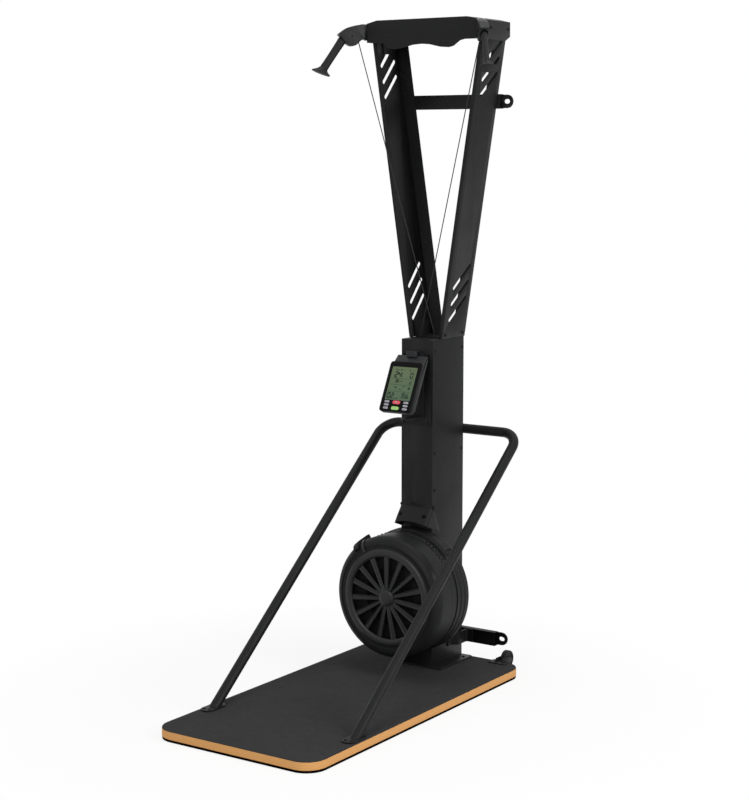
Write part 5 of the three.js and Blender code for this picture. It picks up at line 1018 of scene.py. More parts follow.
def make_mat_material(base):
    """Rubber mat: dark crumb with small paler specks and a pebbled surface."""
    tree, shader, position = start_material("mat", MAT_SPECULAR)[1:]
    cells = tree.nodes.new("ShaderNodeTexVoronoi")
    cells.inputs["Scale"].default_value = MAT_CRUMB_SCALE
    tree.links.new(position, cells.inputs["Vector"])
    speck = map_range(tree, cells.outputs["Distance"], MAT_CRUMB_RANGE, (1.0, 0.0), True)
    grain = place_group(tree, "surface_grain", Position=position, Scale=MAT_GRAIN_SCALE)
    ground = mix_colour(tree, grain.outputs["Shade"], *(tinted(base, shade) for shade in MAT_SHADES))
    some = map_range(tree, grain.outputs["Shade"], MAT_SPECK_RANGE, (0.0, MAT_SPECK_SHARE))
    rare = maths(tree, "MULTIPLY", speck, some)
    smudge = place_group(tree, "handling_smudge", Position=position, Scale=MAT_SMUDGE_SCALE)
    spread = map_range(tree, smudge.outputs["Mask"], (0.0, 1.0), MAT_ROUGHNESS)
    feed(tree, shader, mix_colour(tree, rare, ground, tinted(base, MAT_SPECK_SHADE)), spread)
    relief(tree, shader, cells.outputs["Distance"], MAT_RELIEF, CRUMB_DEPTH)


def make_plywood_material(base):
    """Plywood: bands along Z for the veneers, long grain along the edge and pores."""
    tree, shader, position = start_material("plywood", WOOD_SPECULAR)[1:]
    split = tree.nodes.new("ShaderNodeSeparateXYZ")
    tree.links.new(position, split.inputs["Vector"])
    board_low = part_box("platform_board")[0].z
    depth = maths(tree, "MULTIPLY", maths(tree, "SUBTRACT", split.outputs["Z"], board_low), 1 / VENEER)
    waver = noise(tree, position, VENEER_WAVER_SCALE, 2.0)
    shifted = maths(tree, "ADD", depth, maths(tree, "MULTIPLY", waver, VENEER_WAVER_SHARE))
    layer = maths(tree, "PINGPONG", shifted, 1.0)
    band = map_range(tree, layer, VENEER_RANGE, (0.0, 1.0), True)
    stretch = tree.nodes.new("ShaderNodeMapping")
    stretch.inputs["Scale"].default_value = STREAK_STRETCH
    tree.links.new(position, stretch.inputs["Vector"])
    streak = noise(tree, stretch.outputs["Vector"], STREAK_SCALE, STREAK_DETAIL, 0.65)
    ground = mix_colour(tree, band, *(tinted(base, shade) for shade in VENEER_SHADES))
    dark_share = map_range(tree, streak, STREAK_RANGE, (0.0, STREAK_SHARE), True)
    grained = mix_colour(tree, dark_share, ground, tinted(base, STREAK_SHADE))
    feed(tree, shader, grained, map_range(tree, streak, GRAIN_RANGE, WOOD_ROUGHNESS))
    relief(tree, shader, streak, WOOD_RELIEF, PORE_DEPTH)


def make_cord_material():
    """Braided cord: distorted bands along Z as strands, in colour, roughness and height."""
    tree, shader, position = start_material("cord", CORD_SPECULAR)[1:]
    weave = tree.nodes.new("ShaderNodeTexWave")
    weave.bands_direction = "Z"
    weave.inputs["Scale"].default_value = STRAND_SCALE
    weave.inputs["Distortion"].default_value = 2.0
    tree.links.new(position, weave.inputs["Vector"])
    strand = weave.outputs["Fac"]
    spread = map_range(tree, strand, (0.0, 1.0), CORD_ROUGHNESS)
    feed(tree, shader, mix_colour(tree, strand, *CORD_SHADES), spread)
    relief(tree, shader, strand, CORD_RELIEF, STRAND_DEPTH)


def make_screen_material(base):
    """Display ground: green with a faint speckle, with painted light that makes it warmer and brighter
    towards its top.
    """
    tree, shader, position = start_material("screen", SCREEN_SPECULAR)[1:]
    split = tree.nodes.new("ShaderNodeSeparateXYZ")
    tree.links.new(position, split.inputs["Vector"])
    low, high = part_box("console_screen")
    # Painted light: the ground is darker towards the display's foot and warmer and brighter towards its top
    fall = map_range(tree, split.outputs["Z"], (low.z, high.z), (0.0, 1.0))
    lattice = noise(tree, position, SPECKLE_SCALE, 1.0)
    ground = mix_colour(tree, fall, *(tinted(base, shade) for shade in SCREEN_PAINTED_LIGHT_TINTS))
    speckle = map_range(tree, lattice, SPECKLE_RANGE, (0.0, SPECKLE_SHARE))
    speckled = mix_colour(tree, speckle, ground, tinted(base, SPECKLE_SHADE))
    feed(tree, shader, speckled, map_range(tree, lattice, (0.0, 1.0), SCREEN_ROUGHNESS))


def make_materials(finish):
    """Every finish: those named by a record slot and those of the added pieces."""
    make_grain_group()
    make_smudge_group()
    for name, setting, share, *values in COATED:
        coated(name, tinted(getattr(finish, setting), share), *values)
    make_plywood_material(tuple(finish.wood))
    make_mat_material(tuple(finish.mat))
    make_cord_material()
    make_screen_material(tuple(finish.screen))


# Platform
def platform_plates(platform):
    """Pad, board and mat as (name, node, shape): each a slab between its node's lower and upper face."""
    rows = (
        ("base_pad", "platform_base_pad", platform.pad_inset, PLATE_EDGE),
        ("board", "platform_board", 0.0, BOARD_EDGE),
        ("mat", "platform_top_mat", platform.mat_inset, PLATE_EDGE),
    )
    for name, node, inset, edge in rows:
        low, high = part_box(node)
        width = platform.width - 2 * inset
        depth = platform.depth - 2 * inset
        yield name, node, slab(width, depth, platform.corner - inset, low.z, high.z, edge)


def foot_plate(platform, node):
    """A hoop foot: a slab with round ends, its length along Y."""
    low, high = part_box(node)
    radius = platform.foot_width / 2
    length_x, width = platform.foot_length, platform.foot_width
    points, faces = slab(length_x, width, radius, low.z, high.z, BOARD_EDGE)
    middle = (low + high) / 2
    return points[:, [1, 0, 2]] + (middle.x, middle.y, 0), faces


# Fasteners
def screw_head(place, normal, radius):
    """A domed button head in shares of its radius: rings from a six-sided socket's floor out to the seat."""
    across, upwards, normal = basis(normal)
    angle = full_turn(SCREW_SIDES)
    sixth = math.pi / 3
    corner = SOCKET_SHARE / np.cos((angle + sixth / 2) % sixth - sixth / 2)
    whole = np.ones(SCREW_SIDES)
    rows = [(corner, rise) for rise in SOCKET_RISES]
    rows += [(share * whole, rise) for share, rise in DOME_SHARES]
    circle = np.sin(angle)[:, None] * across + np.cos(angle)[:, None] * upwards
    place = np.asarray(place)
    return loft([place + radius * (share[:, None] * circle + rise * normal) for share, rise in rows])


def recess(place, normal, radius):
    """A sunk screw's place: a low rim round a dark disc that paints the shade in the screw's recess, turned
    about the outward normal.
    """
    return turned(radius * np.array(RECESS_SHARES), place, normal, SCREW_SIDES, closed=False)


def mirrored_pairs(places):
    """Each (place, normal) pair with its mirror image across the middle plane."""
    for place, normal in places:
        for side in (1, -1):
            yield (side * place[0], *place[1:]), (side * normal[0], *normal[1:])


def button_screw_places():
    """Places and outward normals of the button screws on the right half of the frame."""
    side = (1.0, 0.0, 0.0)
    back = (0.0, 1.0, 0.0)
    up = (0.0, 0.0, 1.0)
    rows = [((COLUMN_HIGH.x, y, z), side) for y, z in COLUMN_SCREWS_YZ]
    arm_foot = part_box("right_arm")[0].z
    for y, z in ARM_SCREWS_YZ:
        rows.append(((ARM_FOOT_X + ARM_LEAN * (z - arm_foot), y, z), (1.0, 0.0, -ARM_LEAN)))
    rows += [((HEAD_SIDE_X, y, z), side) for y, z in HEAD_SCREWS_YZ]
    plate_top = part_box("column_base_plate")[1].z
    rows += [((x, y, plate_top), up) for x, y in BASE_SCREWS_XY]
    low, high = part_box("right_hoop_foot")
    foot_x = (low.x + high.x) / 2
    rows += [((foot_x + sign * FOOT_SCREW_SPREAD, FOOT_SCREW_Y, high.z), up) for sign in (-1, 1)]
    low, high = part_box("hoop_saddle")
    levels = (low.z + SADDLE_SCREW_INSET, high.z - SADDLE_SCREW_INSET)
    rows += [((SADDLE_SCREW_X, COLUMN_HIGH.y + SADDLE_FLANGE, z), back) for z in levels]
    bar_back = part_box("upper_wall_bar")[1].y
    for node, x in BAR_SCREWS_X.items():
        rows.append(((x, bar_back, sum(corner.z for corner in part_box(node)) / 2), back))
    low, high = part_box("console_mount_plate")
    levels = (low.z + PLATE_SCREW_INSET, high.z - PLATE_SCREW_INSET)
    rows += [((PLATE_SCREW_X, low.y, z), (0.0, -1.0, 0.0)) for z in levels]
    return rows


# Hoop and wall straps
def hoop_tube(tube):
    """The hoop: straight legs, two bends and a cross run, swept as one tube and cut flat at its feet."""
    radius = tube.hoop_radius
    side, back, high = HOOP_HIGH.x - radius, HOOP_HIGH.y - radius, HOOP_HIGH.z - radius
    foot = np.array([side, tube.hoop_foot_y, HOOP_LOW.z])
    corner = np.array([side, back, high])
    leg = (corner - foot) / np.linalg.norm(corner - foot)
    bend = rounded_corner(foot, corner, (0, back, high), tube.hoop_bend, 2 * CORNER_STEPS)
    right = np.concatenate([foot[None], bend])
    points, faces = swept(np.concatenate([right, (right * (-1, 1, 1))[::-1]]), radius)
    for end in (np.arange(PART_SIDES), np.arange(len(points) - PART_SIDES, len(points))):
        slide = (HOOP_LOW.z - points[end, 2]) / leg[2]
        points[end] += slide[:, None] * leg
    return points, faces


def wall_strap(tube, side):
    """A strap bent from flat bar: its centre line with rounded bends, offset to both sides and drawn up."""
    low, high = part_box(f"{side}_wall_strap")
    near, far = sorted((abs(low.x), abs(high.x)))
    half = tube.strap_thickness / 2
    stand = far - STRAP_TAB
    line = [
        (near + half, low.y, 0), (near + half, low.y + STRAP_BEND_START, 0),
        (stand, low.y + STRAP_BEND_END, 0), (stand, high.y - half, 0), (far, high.y - half, 0),
    ]
    path = rounded_path(line, tube.strap_bend)[:, :2]
    normal = side_normals(path)
    outline = np.concatenate([path + half * normal, (path - half * normal)[::-1]])
    return prism(outline * (SIDES[side], 1), low.z, high.z)


# Fan
def around_axle(angle):
    """Unit vectors round and out from the axle at an angle from the top."""
    return np.array([math.cos(angle), 0, -math.sin(angle)]), np.array([math.sin(angle), 0, math.cos(angle)])


def fan_front_shell(fan):
    """The front shell: its profile runs from the grille's mouth over groove and shoulder, and back inside."""
    front = FAN_LOW.y - FAN_CENTRE.y
    back = FAN_HIGH.y - FAN_CENTRE.y
    groove_in = fan.groove_radius - fan.groove_width / 2
    groove_out = fan.groove_radius + fan.groove_width / 2
    mouth = GRILLE_RADIUS + SEAT_GAP
    centre = (FAN_RADIUS - fan.shoulder, front + fan.shoulder)
    first = math.degrees(math.asin((groove_out - centre[0]) / fan.shoulder))
    inner = fan.shoulder - fan.wall
    profile = np.concatenate(
        [
            [(mouth, front), (groove_in, front), (groove_in + SEAT_GAP, front + fan.groove_depth)],
            [(groove_out, front + fan.groove_depth)],
            arc(centre, fan.shoulder, first, 90, 16),
            [(FAN_RADIUS, back), (FAN_RADIUS - fan.wall, back)],
            arc(centre, inner, 90, 2 * first, 6),
            [(groove_out, front + fan.groove_depth + fan.wall), (mouth, front + fan.groove_depth + fan.wall)],
        ]
    )
    return turned(profile, FAN_CENTRE)


def vent_band():
    """The vent band: a short drum with small square holes over its top and a slot for the lever."""
    columns = 2 * ROUND_SIDES
    rows = BAND_LOW.y + (BAND_HIGH.y - BAND_LOW.y) * np.array(BAND_ROW_SHARES)
    turn = full_turn(columns)
    x, y = np.meshgrid(BAND_RADIUS * np.sin(turn), rows)
    z = FAN_CENTRE.z + BAND_RADIUS * np.cos(turn) + 0 * y
    faces = grid_faces(len(rows), columns, False, True).reshape(len(rows) - 1, columns, 4)
    degrees = np.degrees((turn + math.pi / columns + math.pi) % (2 * math.pi) - math.pi)
    keep = np.ones(faces.shape[:2], bool)
    keep[2] &= (np.abs(degrees) > BAND_HOLES_END) | (np.arange(columns) % 4 >= 2)
    keep[0] &= (degrees < BAND_SLOT[0]) | (degrees > BAND_SLOT[1])
    return np.stack([x, y, z], axis=-1).reshape(-1, 3), faces[keep]


def vent_teeth(fan):
    """Teeth over the vent band: small rounded blocks at even angles, their length along the axle."""
    base = rounded_rectangle(fan.tooth_width, TOOTH_LENGTH, TOOTH_CORNER, 2)
    rows = ((1.0, -TOOTH_ROOT), (1.0, fan.tooth_rise - TOOTH_CHAMFER), (TOOTH_TOP_SHARE, fan.tooth_rise))
    tooth = loft([at_level(base * share, rise) for share, rise in rows])
    parts = []
    for angle in np.radians(np.linspace(*TOOTH_ENDS, fan.teeth)):
        across, out = around_axle(angle)
        place = np.array([FAN_CENTRE.x, BAND_LOW.y + TOOTH_MIDDLE, FAN_CENTRE.z]) + BAND_RADIUS * out
        parts.append((tooth[0] @ np.stack([across, (0, 1, 0), out]) + place, tooth[1]))
    return joined(parts)


def damper_bar(fan):
    """The damper's bar: flat sections that follow the front shell's face and shoulder at a small gap."""
    front = FAN_LOW.y - FAN_CENTRE.y
    centre = (FAN_RADIUS - fan.shoulder, front + fan.shoulder)
    stand = fan.bar_gap + fan.bar_thickness / 2
    bend = arc(centre, fan.shoulder + stand, 2, DAMPER_END_DEGREES, 12)
    line = np.concatenate([[(DAMPER_START_RADIUS, front - stand)], bend])
    normal = side_normals(line) * fan.bar_thickness / 2
    side, out = around_axle(DAMPER_REST)
    side = side * fan.bar_width / 2
    rings = []
    for (radius, along), (rise, fall) in zip(line, normal):
        place = np.array(FAN_CENTRE) + radius * out + (0, along, 0)
        lift = rise * out + np.array([0, fall, 0])
        rings.append([place + wide * side + high * lift for wide, high in DAMPER_SECTION])
    return loft(rings)


def rear_shell(fan):
    """The rear shell: a stepped drum with a closed back; a plateau of angle and depth raises the outlet."""
    sides = 3 * ROUND_SIDES
    depth = REAR_HIGH.y - REAR_LOW.y
    share = np.array(REAR_ROW_SHARES)
    step = np.interp(share, *REAR_STEP_SHARES)
    raised = FAN_RADIUS + fan.outlet_rise
    widest = FAN_RADIUS + REAR_STEP
    turn = full_turn(sides)
    degrees = np.degrees((turn + math.pi) % (2 * math.pi) - math.pi)
    over = smooth_step(degrees, *OUTLET_RISE) * (1 - smooth_step(degrees, *OUTLET_FALL))
    along = smooth_step(share, *OUTLET_START_SHARES) * (1 - smooth_step(share, *OUTLET_END_SHARES))
    slot_start, slot_end = OUTLET_SLOT_SHARES
    slot_rows = ((share > slot_start) & (share < slot_end))[:, None]
    slot = (np.abs(degrees - OUTLET_SLOT) < OUTLET_SLOT_HALF) * slot_rows
    slot_depth = OUTLET_SLOT_DEPTH_SHARE * fan.outlet_rise
    body = FAN_RADIUS + step[:, None] * (widest - FAN_RADIUS)
    radius = body + (raised - body) * over * along[:, None] - slot_depth * slot
    y = REAR_LOW.y + depth * share[:, None] + 0 * turn
    outer = np.stack([radius * np.sin(turn), y, radius * np.cos(turn) + FAN_CENTRE.z], axis=-1)
    inside = FAN_RADIUS - fan.wall
    flat = [(widest - fan.wall, depth), (fan.bore, depth), (fan.bore, depth - fan.wall)]
    flat += [(inside, depth - fan.wall), (inside, 0.0)]
    inner = turned([(r, y + REAR_LOW.y - FAN_CENTRE.y) for r, y in flat], FAN_CENTRE, sides=sides)[0]
    points = np.concatenate([outer.reshape(-1, 3), inner])
    return points, grid_faces(len(share) + len(flat), sides, True, True)


def grille(fan):
    """The grille: a crowned ring, a domed hub and ridged spokes that widen outwards."""
    width = GRILLE_RADIUS - fan.opening
    face = FAN_LOW.y - FAN_CENTRE.y
    crown = FAN_LOW.y - GRILLE_LOW.y
    back = GRILLE_HIGH.y - FAN_CENTRE.y
    across = np.linspace(0, 1, 13)
    lift = crown * (1 - np.abs(2 * across - 1) ** CROWN_POWER)
    top = np.stack([fan.opening + width * across, face - lift], axis=1)
    ring = turned(np.concatenate([top, [(GRILLE_RADIUS, back), (fan.opening, back)]]), FAN_CENTRE)
    share = np.linspace(0, 1, 9)
    dome = np.stack([fan.hub * share, face - crown * (1 - HUB_FALL_SHARE * share**4)], axis=1)
    hub = turned(np.concatenate([dome, [(fan.hub, back), (0.0, back)]]), FAN_CENTRE, sides=ROUND_SIDES // 2)
    along = np.linspace(SPOKE_START_SHARE * fan.hub, fan.opening + SPOKE_END_SHARE * width, 7)
    grow = (along - along[0]) / (along[-1] - along[0])
    half = (fan.spoke_root + (fan.spoke_tip - fan.spoke_root) * grow) / 2
    section = np.array(SPOKE_SHARES)
    x = half[:, None] * section[:, 0]
    y = face + fan.spoke_depth * section[:, 1] + 0 * x
    spoke, sides = loft(np.stack([x, y, along[:, None] + 0 * x], axis=-1))
    parts = [ring, hub]
    for angle in full_turn(fan.spokes):
        across, out = around_axle(angle)
        parts.append((spoke @ np.stack([across, (0, 1, 0), out]) + np.array(FAN_CENTRE), sides))
    return joined(parts)


def wire_screen(fan):
    """The fine screen: straight four-sided wires both ways, each as long as the disc's chord, in a rim."""
    radius = (MESH_HIGH.x - MESH_LOW.x) / 2
    middle = (MESH_LOW.y + MESH_HIGH.y) / 2
    rim = 2 * fan.wire_width
    thick = (MESH_HIGH.y - MESH_LOW.y) / 2
    count = int(radius / fan.wire_pitch)
    places = np.arange(-count, count + 1) * fan.wire_pitch
    places = places[np.abs(places) < radius - rim]
    reach = np.sqrt((radius - rim / 2) ** 2 - places**2)
    half = fan.wire_width / 2
    ends = np.stack([-reach, reach], axis=1)
    corners = np.array([(-1, -1), (1, -1), (1, 1), (-1, 1)])
    parts = []
    for layer, upright in WIRE_LAYERS:
        wide = places[:, None, None] + half * corners[:, 0]
        long = ends[:, :, None] + 0 * wide
        wide = wide + 0 * long
        deep = middle + thick * (layer + WIRE_SHARE * corners[:, 1]) + 0 * long
        order = [wide, deep, long] if upright else [long, deep, wide]
        points = np.stack(order, axis=-1)
        points[..., 2] += FAN_CENTRE.z
        box = [[0, 1, 5, 4], [1, 2, 6, 5], [2, 3, 7, 6], [3, 0, 4, 7], [0, 3, 2, 1], [4, 5, 6, 7]]
        faces = (np.arange(len(places))[:, None, None] * 8 + np.array(box)).reshape(-1, 4)
        parts.append((points.reshape(-1, 3), faces))
    ring = [(radius - rim, -thick), (radius, -thick), (radius, thick), (radius - rim, thick)]
    parts.append(turned(ring, (FAN_CENTRE.x, middle, FAN_CENTRE.z)))
    return joined(parts)


# Collar between fan and column
def collar_section(share):
    """Points across the collar, at a height share each: a bowed front, round corners and flat sides."""
    start = math.radians(COLLAR_BOW)
    edge = COLLAR_HALF - COLLAR_CORNER + COLLAR_CORNER * math.sin(start)
    bow = edge * math.tan(start) / 2
    front_x = np.linspace(0, edge, 15)
    corner = np.linspace(start, math.pi / 2, 11)[1:]
    side_share = np.linspace(0, 1, 7)[1:]
    slope = np.array(COLLAR_SLOPE_SHARE)
    corner_x = COLLAR_HALF - COLLAR_CORNER + COLLAR_CORNER * np.sin(corner)
    half_x = np.concatenate([front_x, corner_x, 0 * side_share + COLLAR_HALF])
    corner_rise = bow + COLLAR_CORNER * (math.cos(start) - np.cos(corner))
    rise = np.concatenate([bow * (front_x / edge) ** 2, corner_rise])
    half_rise = np.concatenate([rise, rise[-1] + 0 * side_share])
    half_push = np.concatenate([0 * rise, side_share])
    x = np.concatenate([-half_x[:0:-1], half_x])
    rise_all, push_all = (np.concatenate([half[:0:-1], half]) for half in (half_rise, half_push))
    front = COLUMN_LOW.y + COLLAR_HEIGHT * np.interp(share, slope[:, 0], slope[:, 1])
    back = COLUMN_LOW.y + COLLAR_BACK_REACH * (1 - share)
    y = front + rise_all
    y = y + push_all * np.maximum(back - y, 0)
    y = np.minimum(y, back)
    flat = np.abs(x) < COLUMN_HIGH.x + SEAT_GAP
    return x, np.where(flat, np.minimum(y, COLUMN_LOW.y - SEAT_GAP), y)


def collar():
    """The collar: sections from a bottom edge that follows a tilted circle round the fan up to the top."""
    columns = len(collar_section(0.5)[0])
    share = np.full(columns, 0.5)
    for _ in range(COLLAR_ROUNDS):
        x, y = collar_section(share)
        reach = np.sqrt(COLLAR_ARC_RADIUS**2 - x**2)
        along = (y - COLLAR_ARC_Y) * math.sin(COLLAR_ARC_TILT)
        z = FAN_CENTRE.z + (reach - along) / math.cos(COLLAR_ARC_TILT)
        share = 0.5 * share + 0.5 * (1 - (COLLAR_TOP - z) / COLLAR_HEIGHT)
    rows = []
    for step in np.linspace(0, 1, COLLAR_ROWS):
        height = share + (1 - share) * step
        x, y = collar_section(height)
        rows.append(np.column_stack([x, y, COLLAR_TOP - COLLAR_HEIGHT * (1 - height)]))
    return np.concatenate(rows), grid_faces(len(rows), columns)


# Hoods, pulleys, grips and cords, in a frame whose +X points out of the hood's mouth
def from_hood(side, points):
    """Points of the hood's frame turned by its splay about Z and moved to its root."""
    angle = SIDES[side] * HOOD_SPLAY - math.pi / 2
    points = np.atleast_2d(np.asarray(points, float))
    x = points[:, 0] * math.cos(angle) - points[:, 1] * math.sin(angle)
    y = points[:, 0] * math.sin(angle) + points[:, 1] * math.cos(angle)
    return np.column_stack([x, y, points[:, 2]]) + HOOD_ROOT * (SIDES[side], 1, 1)


def to_hood(side, point):
    """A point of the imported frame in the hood's frame."""
    angle = math.pi / 2 - SIDES[side] * HOOD_SPLAY
    x, y, z = np.asarray(point, float) - HOOD_ROOT * (SIDES[side], 1, 1)
    cosine, sine = math.cos(angle), math.sin(angle)
    return np.array([x * cosine - y * sine, x * sine + y * cosine, z])


def on_grip_axis(past):
    """A place on the grip's axis, a given way past the point where the cord leaves the pulley."""
    x = PULLEY_PLACE[0] + CORD_ON_PULLEY * math.cos(GRIP_TILT) + past * math.sin(GRIP_TILT)
    z = PULLEY_PLACE[2] + CORD_ON_PULLEY * math.sin(GRIP_TILT) - past * math.cos(GRIP_TILT)
    return np.array([x, 0.0, z])


def hood_outline(hood):
    """The hood's side outline: a smooth curve below from root to lip and one above from lip to root."""
    scale = (hood.reach, hood.height)
    below = smooth_curve(np.array(HOOD_OUTLINE_SHARE) * scale, 8)
    above = smooth_curve(np.array(HOOD_TOP_SHARE) * scale, 8)
    return np.concatenate([below, above])


def hood_mesh(hood, side):
    """The hood: its outline across its width with rounded edges, hollowed, with a mouth and a cord's way."""
    outline = hood_outline(hood)
    half = hood.width / 2
    rows = edge_rows(-half, half, hood.edge)
    body = loft([at_level(offset_outline(outline, draw), level) for draw, level in rows])
    cavity = prism(offset_outline(outline, hood.wall), -half + hood.wall, half - hood.wall)
    upright = [(points[:, [0, 2, 1]], faces) for points, faces in (body, cavity)]
    start = on_grip_axis(0.0)
    axis = on_grip_axis(1.0) - start
    turn = full_turn(PART_SIDES)
    depth = (hood.grip_depth / 2 + hood.mouth_gap) * np.cos(turn)
    width = (half - hood.wall) * np.sin(turn)
    oval = np.column_stack([depth * math.cos(GRIP_TILT), width, depth * math.sin(GRIP_TILT)])
    mouth = loft([start + oval, start + hood.reach * axis + oval])
    near, far = CORD_WAY_X
    corners = [(near, -CORD_WAY_HALF), (far, -CORD_WAY_HALF), (far, CORD_WAY_HALF), (near, CORD_WAY_HALF)]
    shapes = (*upright, mouth, prism(corners, *CORD_WAY_Z))
    body, *cutters = ((from_hood(side, points), faces) for points, faces in shapes)
    return carved(f"{side}_hood_shell", body, cutters)


def hood_pulley(hood, side):
    """The pulley: a rim with a rounded groove, turned about the hood's own Y axis."""
    half = hood.pulley_width / 2
    radius = hood.pulley_radius
    lip = hood.pulley_width / 8
    groove = np.linspace(-half + lip, half - lip, 9)
    dip = radius - hood.pulley_rim + hood.pulley_rim * (groove / (half - lip)) ** 2
    profile = [(PULLEY_BORE, -half), (radius, -half), *zip(dip, groove), (radius, half), (PULLEY_BORE, half)]
    axis = from_hood(side, (0, 1, 0))[0] - from_hood(side, (0, 0, 0))[0]
    return turned(profile, from_hood(side, PULLEY_PLACE)[0], axis, PART_SIDES)


def grip(hood, side):
    """The grip: oval rings along its axis, of tapering depth and width, the last of them turned level."""
    taper = smooth_curve(GRIP_SHARE, 6)
    turn = full_turn(PART_SIDES)
    seam = 1 - GRIP_SEAM_SHARE * np.exp(-(((taper[:, 0] - GRIP_SEAM) / GRIP_SEAM_WIDTH) ** 2))
    depth = hood.grip_depth / 2 * taper[:, 1] * seam
    width = hood.grip_width / 2 * taper[:, 2] * seam
    x = depth[:, None] * np.cos(turn)
    y = width[:, None] * np.sin(turn)
    z = -hood.grip_length * taper[:, :1] + 0 * x
    start = on_grip_axis(GRIP_START)
    tilt = GRIP_TILT - FLARE_TURN * smooth_step(taper[:, :1], *FLARE_SHARES)
    leant_x = x * np.cos(tilt) - z * math.sin(GRIP_TILT) + start[0]
    leant_z = x * np.sin(tilt) + z * math.cos(GRIP_TILT) + start[2]
    points, faces = loft(np.stack([leant_x, y, leant_z], axis=-1))
    return from_hood(side, points), faces


def cord_path(tube, side):
    """The cord's way: out of the grip, round the pulley, straight to the column and down to its drum."""
    sign = SIDES[side]
    entry = np.array([-sign * CORD_ENTRY_X, CORD_ENTRY_Y + sign * CORD_ENTRY_SPREAD, COLUMN_HIGH.z])
    drum = np.array([CORD_DRUM_X, CORD_DRUM_Y[side], FAN_CENTRE.z])
    local = to_hood(side, entry)
    dx, dz = local[0] - PULLEY_PLACE[0], local[2] - PULLEY_PLACE[2]
    leave = math.atan2(dz, dx) - math.acos(CORD_ON_PULLEY / math.hypot(dx, dz)) + 2 * math.pi
    angle = np.linspace(GRIP_TILT, leave, 2 * CORNER_STEPS + 1)
    round_x = PULLEY_PLACE[0] + CORD_ON_PULLEY * np.cos(angle)
    round_z = PULLEY_PLACE[2] + CORD_ON_PULLEY * np.sin(angle)
    first = [on_grip_axis(GRIP_START - SEAT_GAP), *np.column_stack([round_x, 0 * angle, round_z])]
    over = from_hood(side, first)
    bend = rounded_corner(over[-1], entry, drum, tube.cord_bend, CORNER_STEPS)
    return np.concatenate([over, bend, drum[None]])


def hood_screws(side):
    """Two small bright screws on the hood's top, close to its root."""
    x, y, z = HOOD_SCREW
    places = from_hood(side, [(x, -y, z), (x, y, z)])
    return [screw_head(place, (0, 0, 1), HOOD_SCREW_RADIUS) for place in places]


# Console
def on_console(points):
    """Points of the console's face frame, tilted back about X and moved to their place."""
    points = np.atleast_2d(np.asarray(points, float))
    y = points[:, 1] * math.cos(CONSOLE_TILT) + points[:, 2] * math.sin(CONSOLE_TILT)
    z = points[:, 2] * math.cos(CONSOLE_TILT) - points[:, 1] * math.sin(CONSOLE_TILT)
    return np.column_stack([points[:, 0], y, z]) + CONSOLE_PLACE


def on_face(shape, place_x=0.0, place_z=0.0):
    """A shape of plates (along, up, out) laid on the console's face about a place."""
    points, faces = shape
    return on_console(np.column_stack([points[:, 0] + place_x, -points[:, 2], points[:, 1] + place_z])), faces


def digit_bars(digit, left, middle, height):
    """The lit bars of a seven-bar digit: pointed six-sided prisms, flat ones across and upright ones."""
    width = DIGIT_WIDTH_SHARE * height
    thick = DIGIT_BAR_SHARE * height
    upright = {1: (0, 1), 2: (1, 1), 4: (0, -1), 5: (1, -1)}
    parts = []
    for bar in DIGIT_BARS[digit]:
        long = (height / 2 if bar in upright else width) - DIGIT_FREE_SHARE * thick
        half = long / 2
        shape = np.array(
            [(-half, 0), (-half + thick / 2, thick / 2), (half - thick / 2, thick / 2),
             (half, 0), (half - thick / 2, -thick / 2), (-half + thick / 2, -thick / 2)]
        )
        if bar in upright:
            across, high = upright[bar]
            shape = shape[:, ::-1] + (left + across * width, middle + high * height / 4)
        else:
            shape = shape + (left + width / 2, middle + {0: 1, 3: 0, 6: -1}[bar] * height / 2)
        parts.append(prism(shape, -SCREEN_SURFACE - INK_SINK, -SCREEN_SURFACE + DIGIT_RISE))
    return parts


def flat_bar(left, middle, width, height):
    """A thin printed bar on the display."""
    shape = [(left, middle - height / 2), (left + width, middle - height / 2)]
    shape += [(left + width, middle + height / 2), (left, middle + height / 2)]
    return prism(shape, -SCREEN_SURFACE - INK_SINK, -SCREEN_SURFACE + INK_RISE)


def display_marks():
    """Every lit digit and bar of the display, laid on the screen's face."""
    parts = []
    for text, left, middle, height in DISPLAY_NUMBERS:
        for order, digit in enumerate(text):
            parts += digit_bars(digit, left + order * DIGIT_STEP_SHARE * height, middle, height)
    parts += [flat_bar(*row) for row in DISPLAY_BARS]
    return on_face(joined(parts), 0.0, SCREEN_MIDDLE)


def key_marks(node, length_x):
    """The marks on a key: a square to stop, a triangle to start and three dashes on a side key."""
    low, high = KEY_PROUD - INK_SINK, KEY_PROUD + INK_RISE
    if node == "stop_key":
        return [prism(rounded_rectangle(STOP_MARK, STOP_MARK, MARK_CORNER, 3), low, high)]
    if node == "start_key":
        return [prism(START_MARK, low, high)]
    pitch = length_x / DASH_STEPS_PER_KEY
    dashes = []
    for order in (-1, 0, 1):
        dash = rounded_rectangle(DASH_SHARE * pitch, DASH_HEIGHT, DASH_CORNER, 3) + (order * pitch, 0)
        dashes.append(prism(dash, low, high))
    return dashes


def window_frame(frame_rows, window):
    """The bezel: rounded rectangles from its back edge over its face to the window and back inside."""
    rings = []
    for (width, height, radius, middle), depth in frame_rows:
        rings.append((rounded_rectangle(width, height, radius) + (0, middle), depth))
    for depth in (0.0, BEZEL_DEPTH):
        rings.append((rounded_rectangle(*window[:3]) + (0, window[3]), depth))
    points = [np.column_stack([ring, np.full(len(ring), -depth)]) for ring, depth in rings]
    return np.concatenate(points), grid_faces(len(points), len(points[0]), True, True)


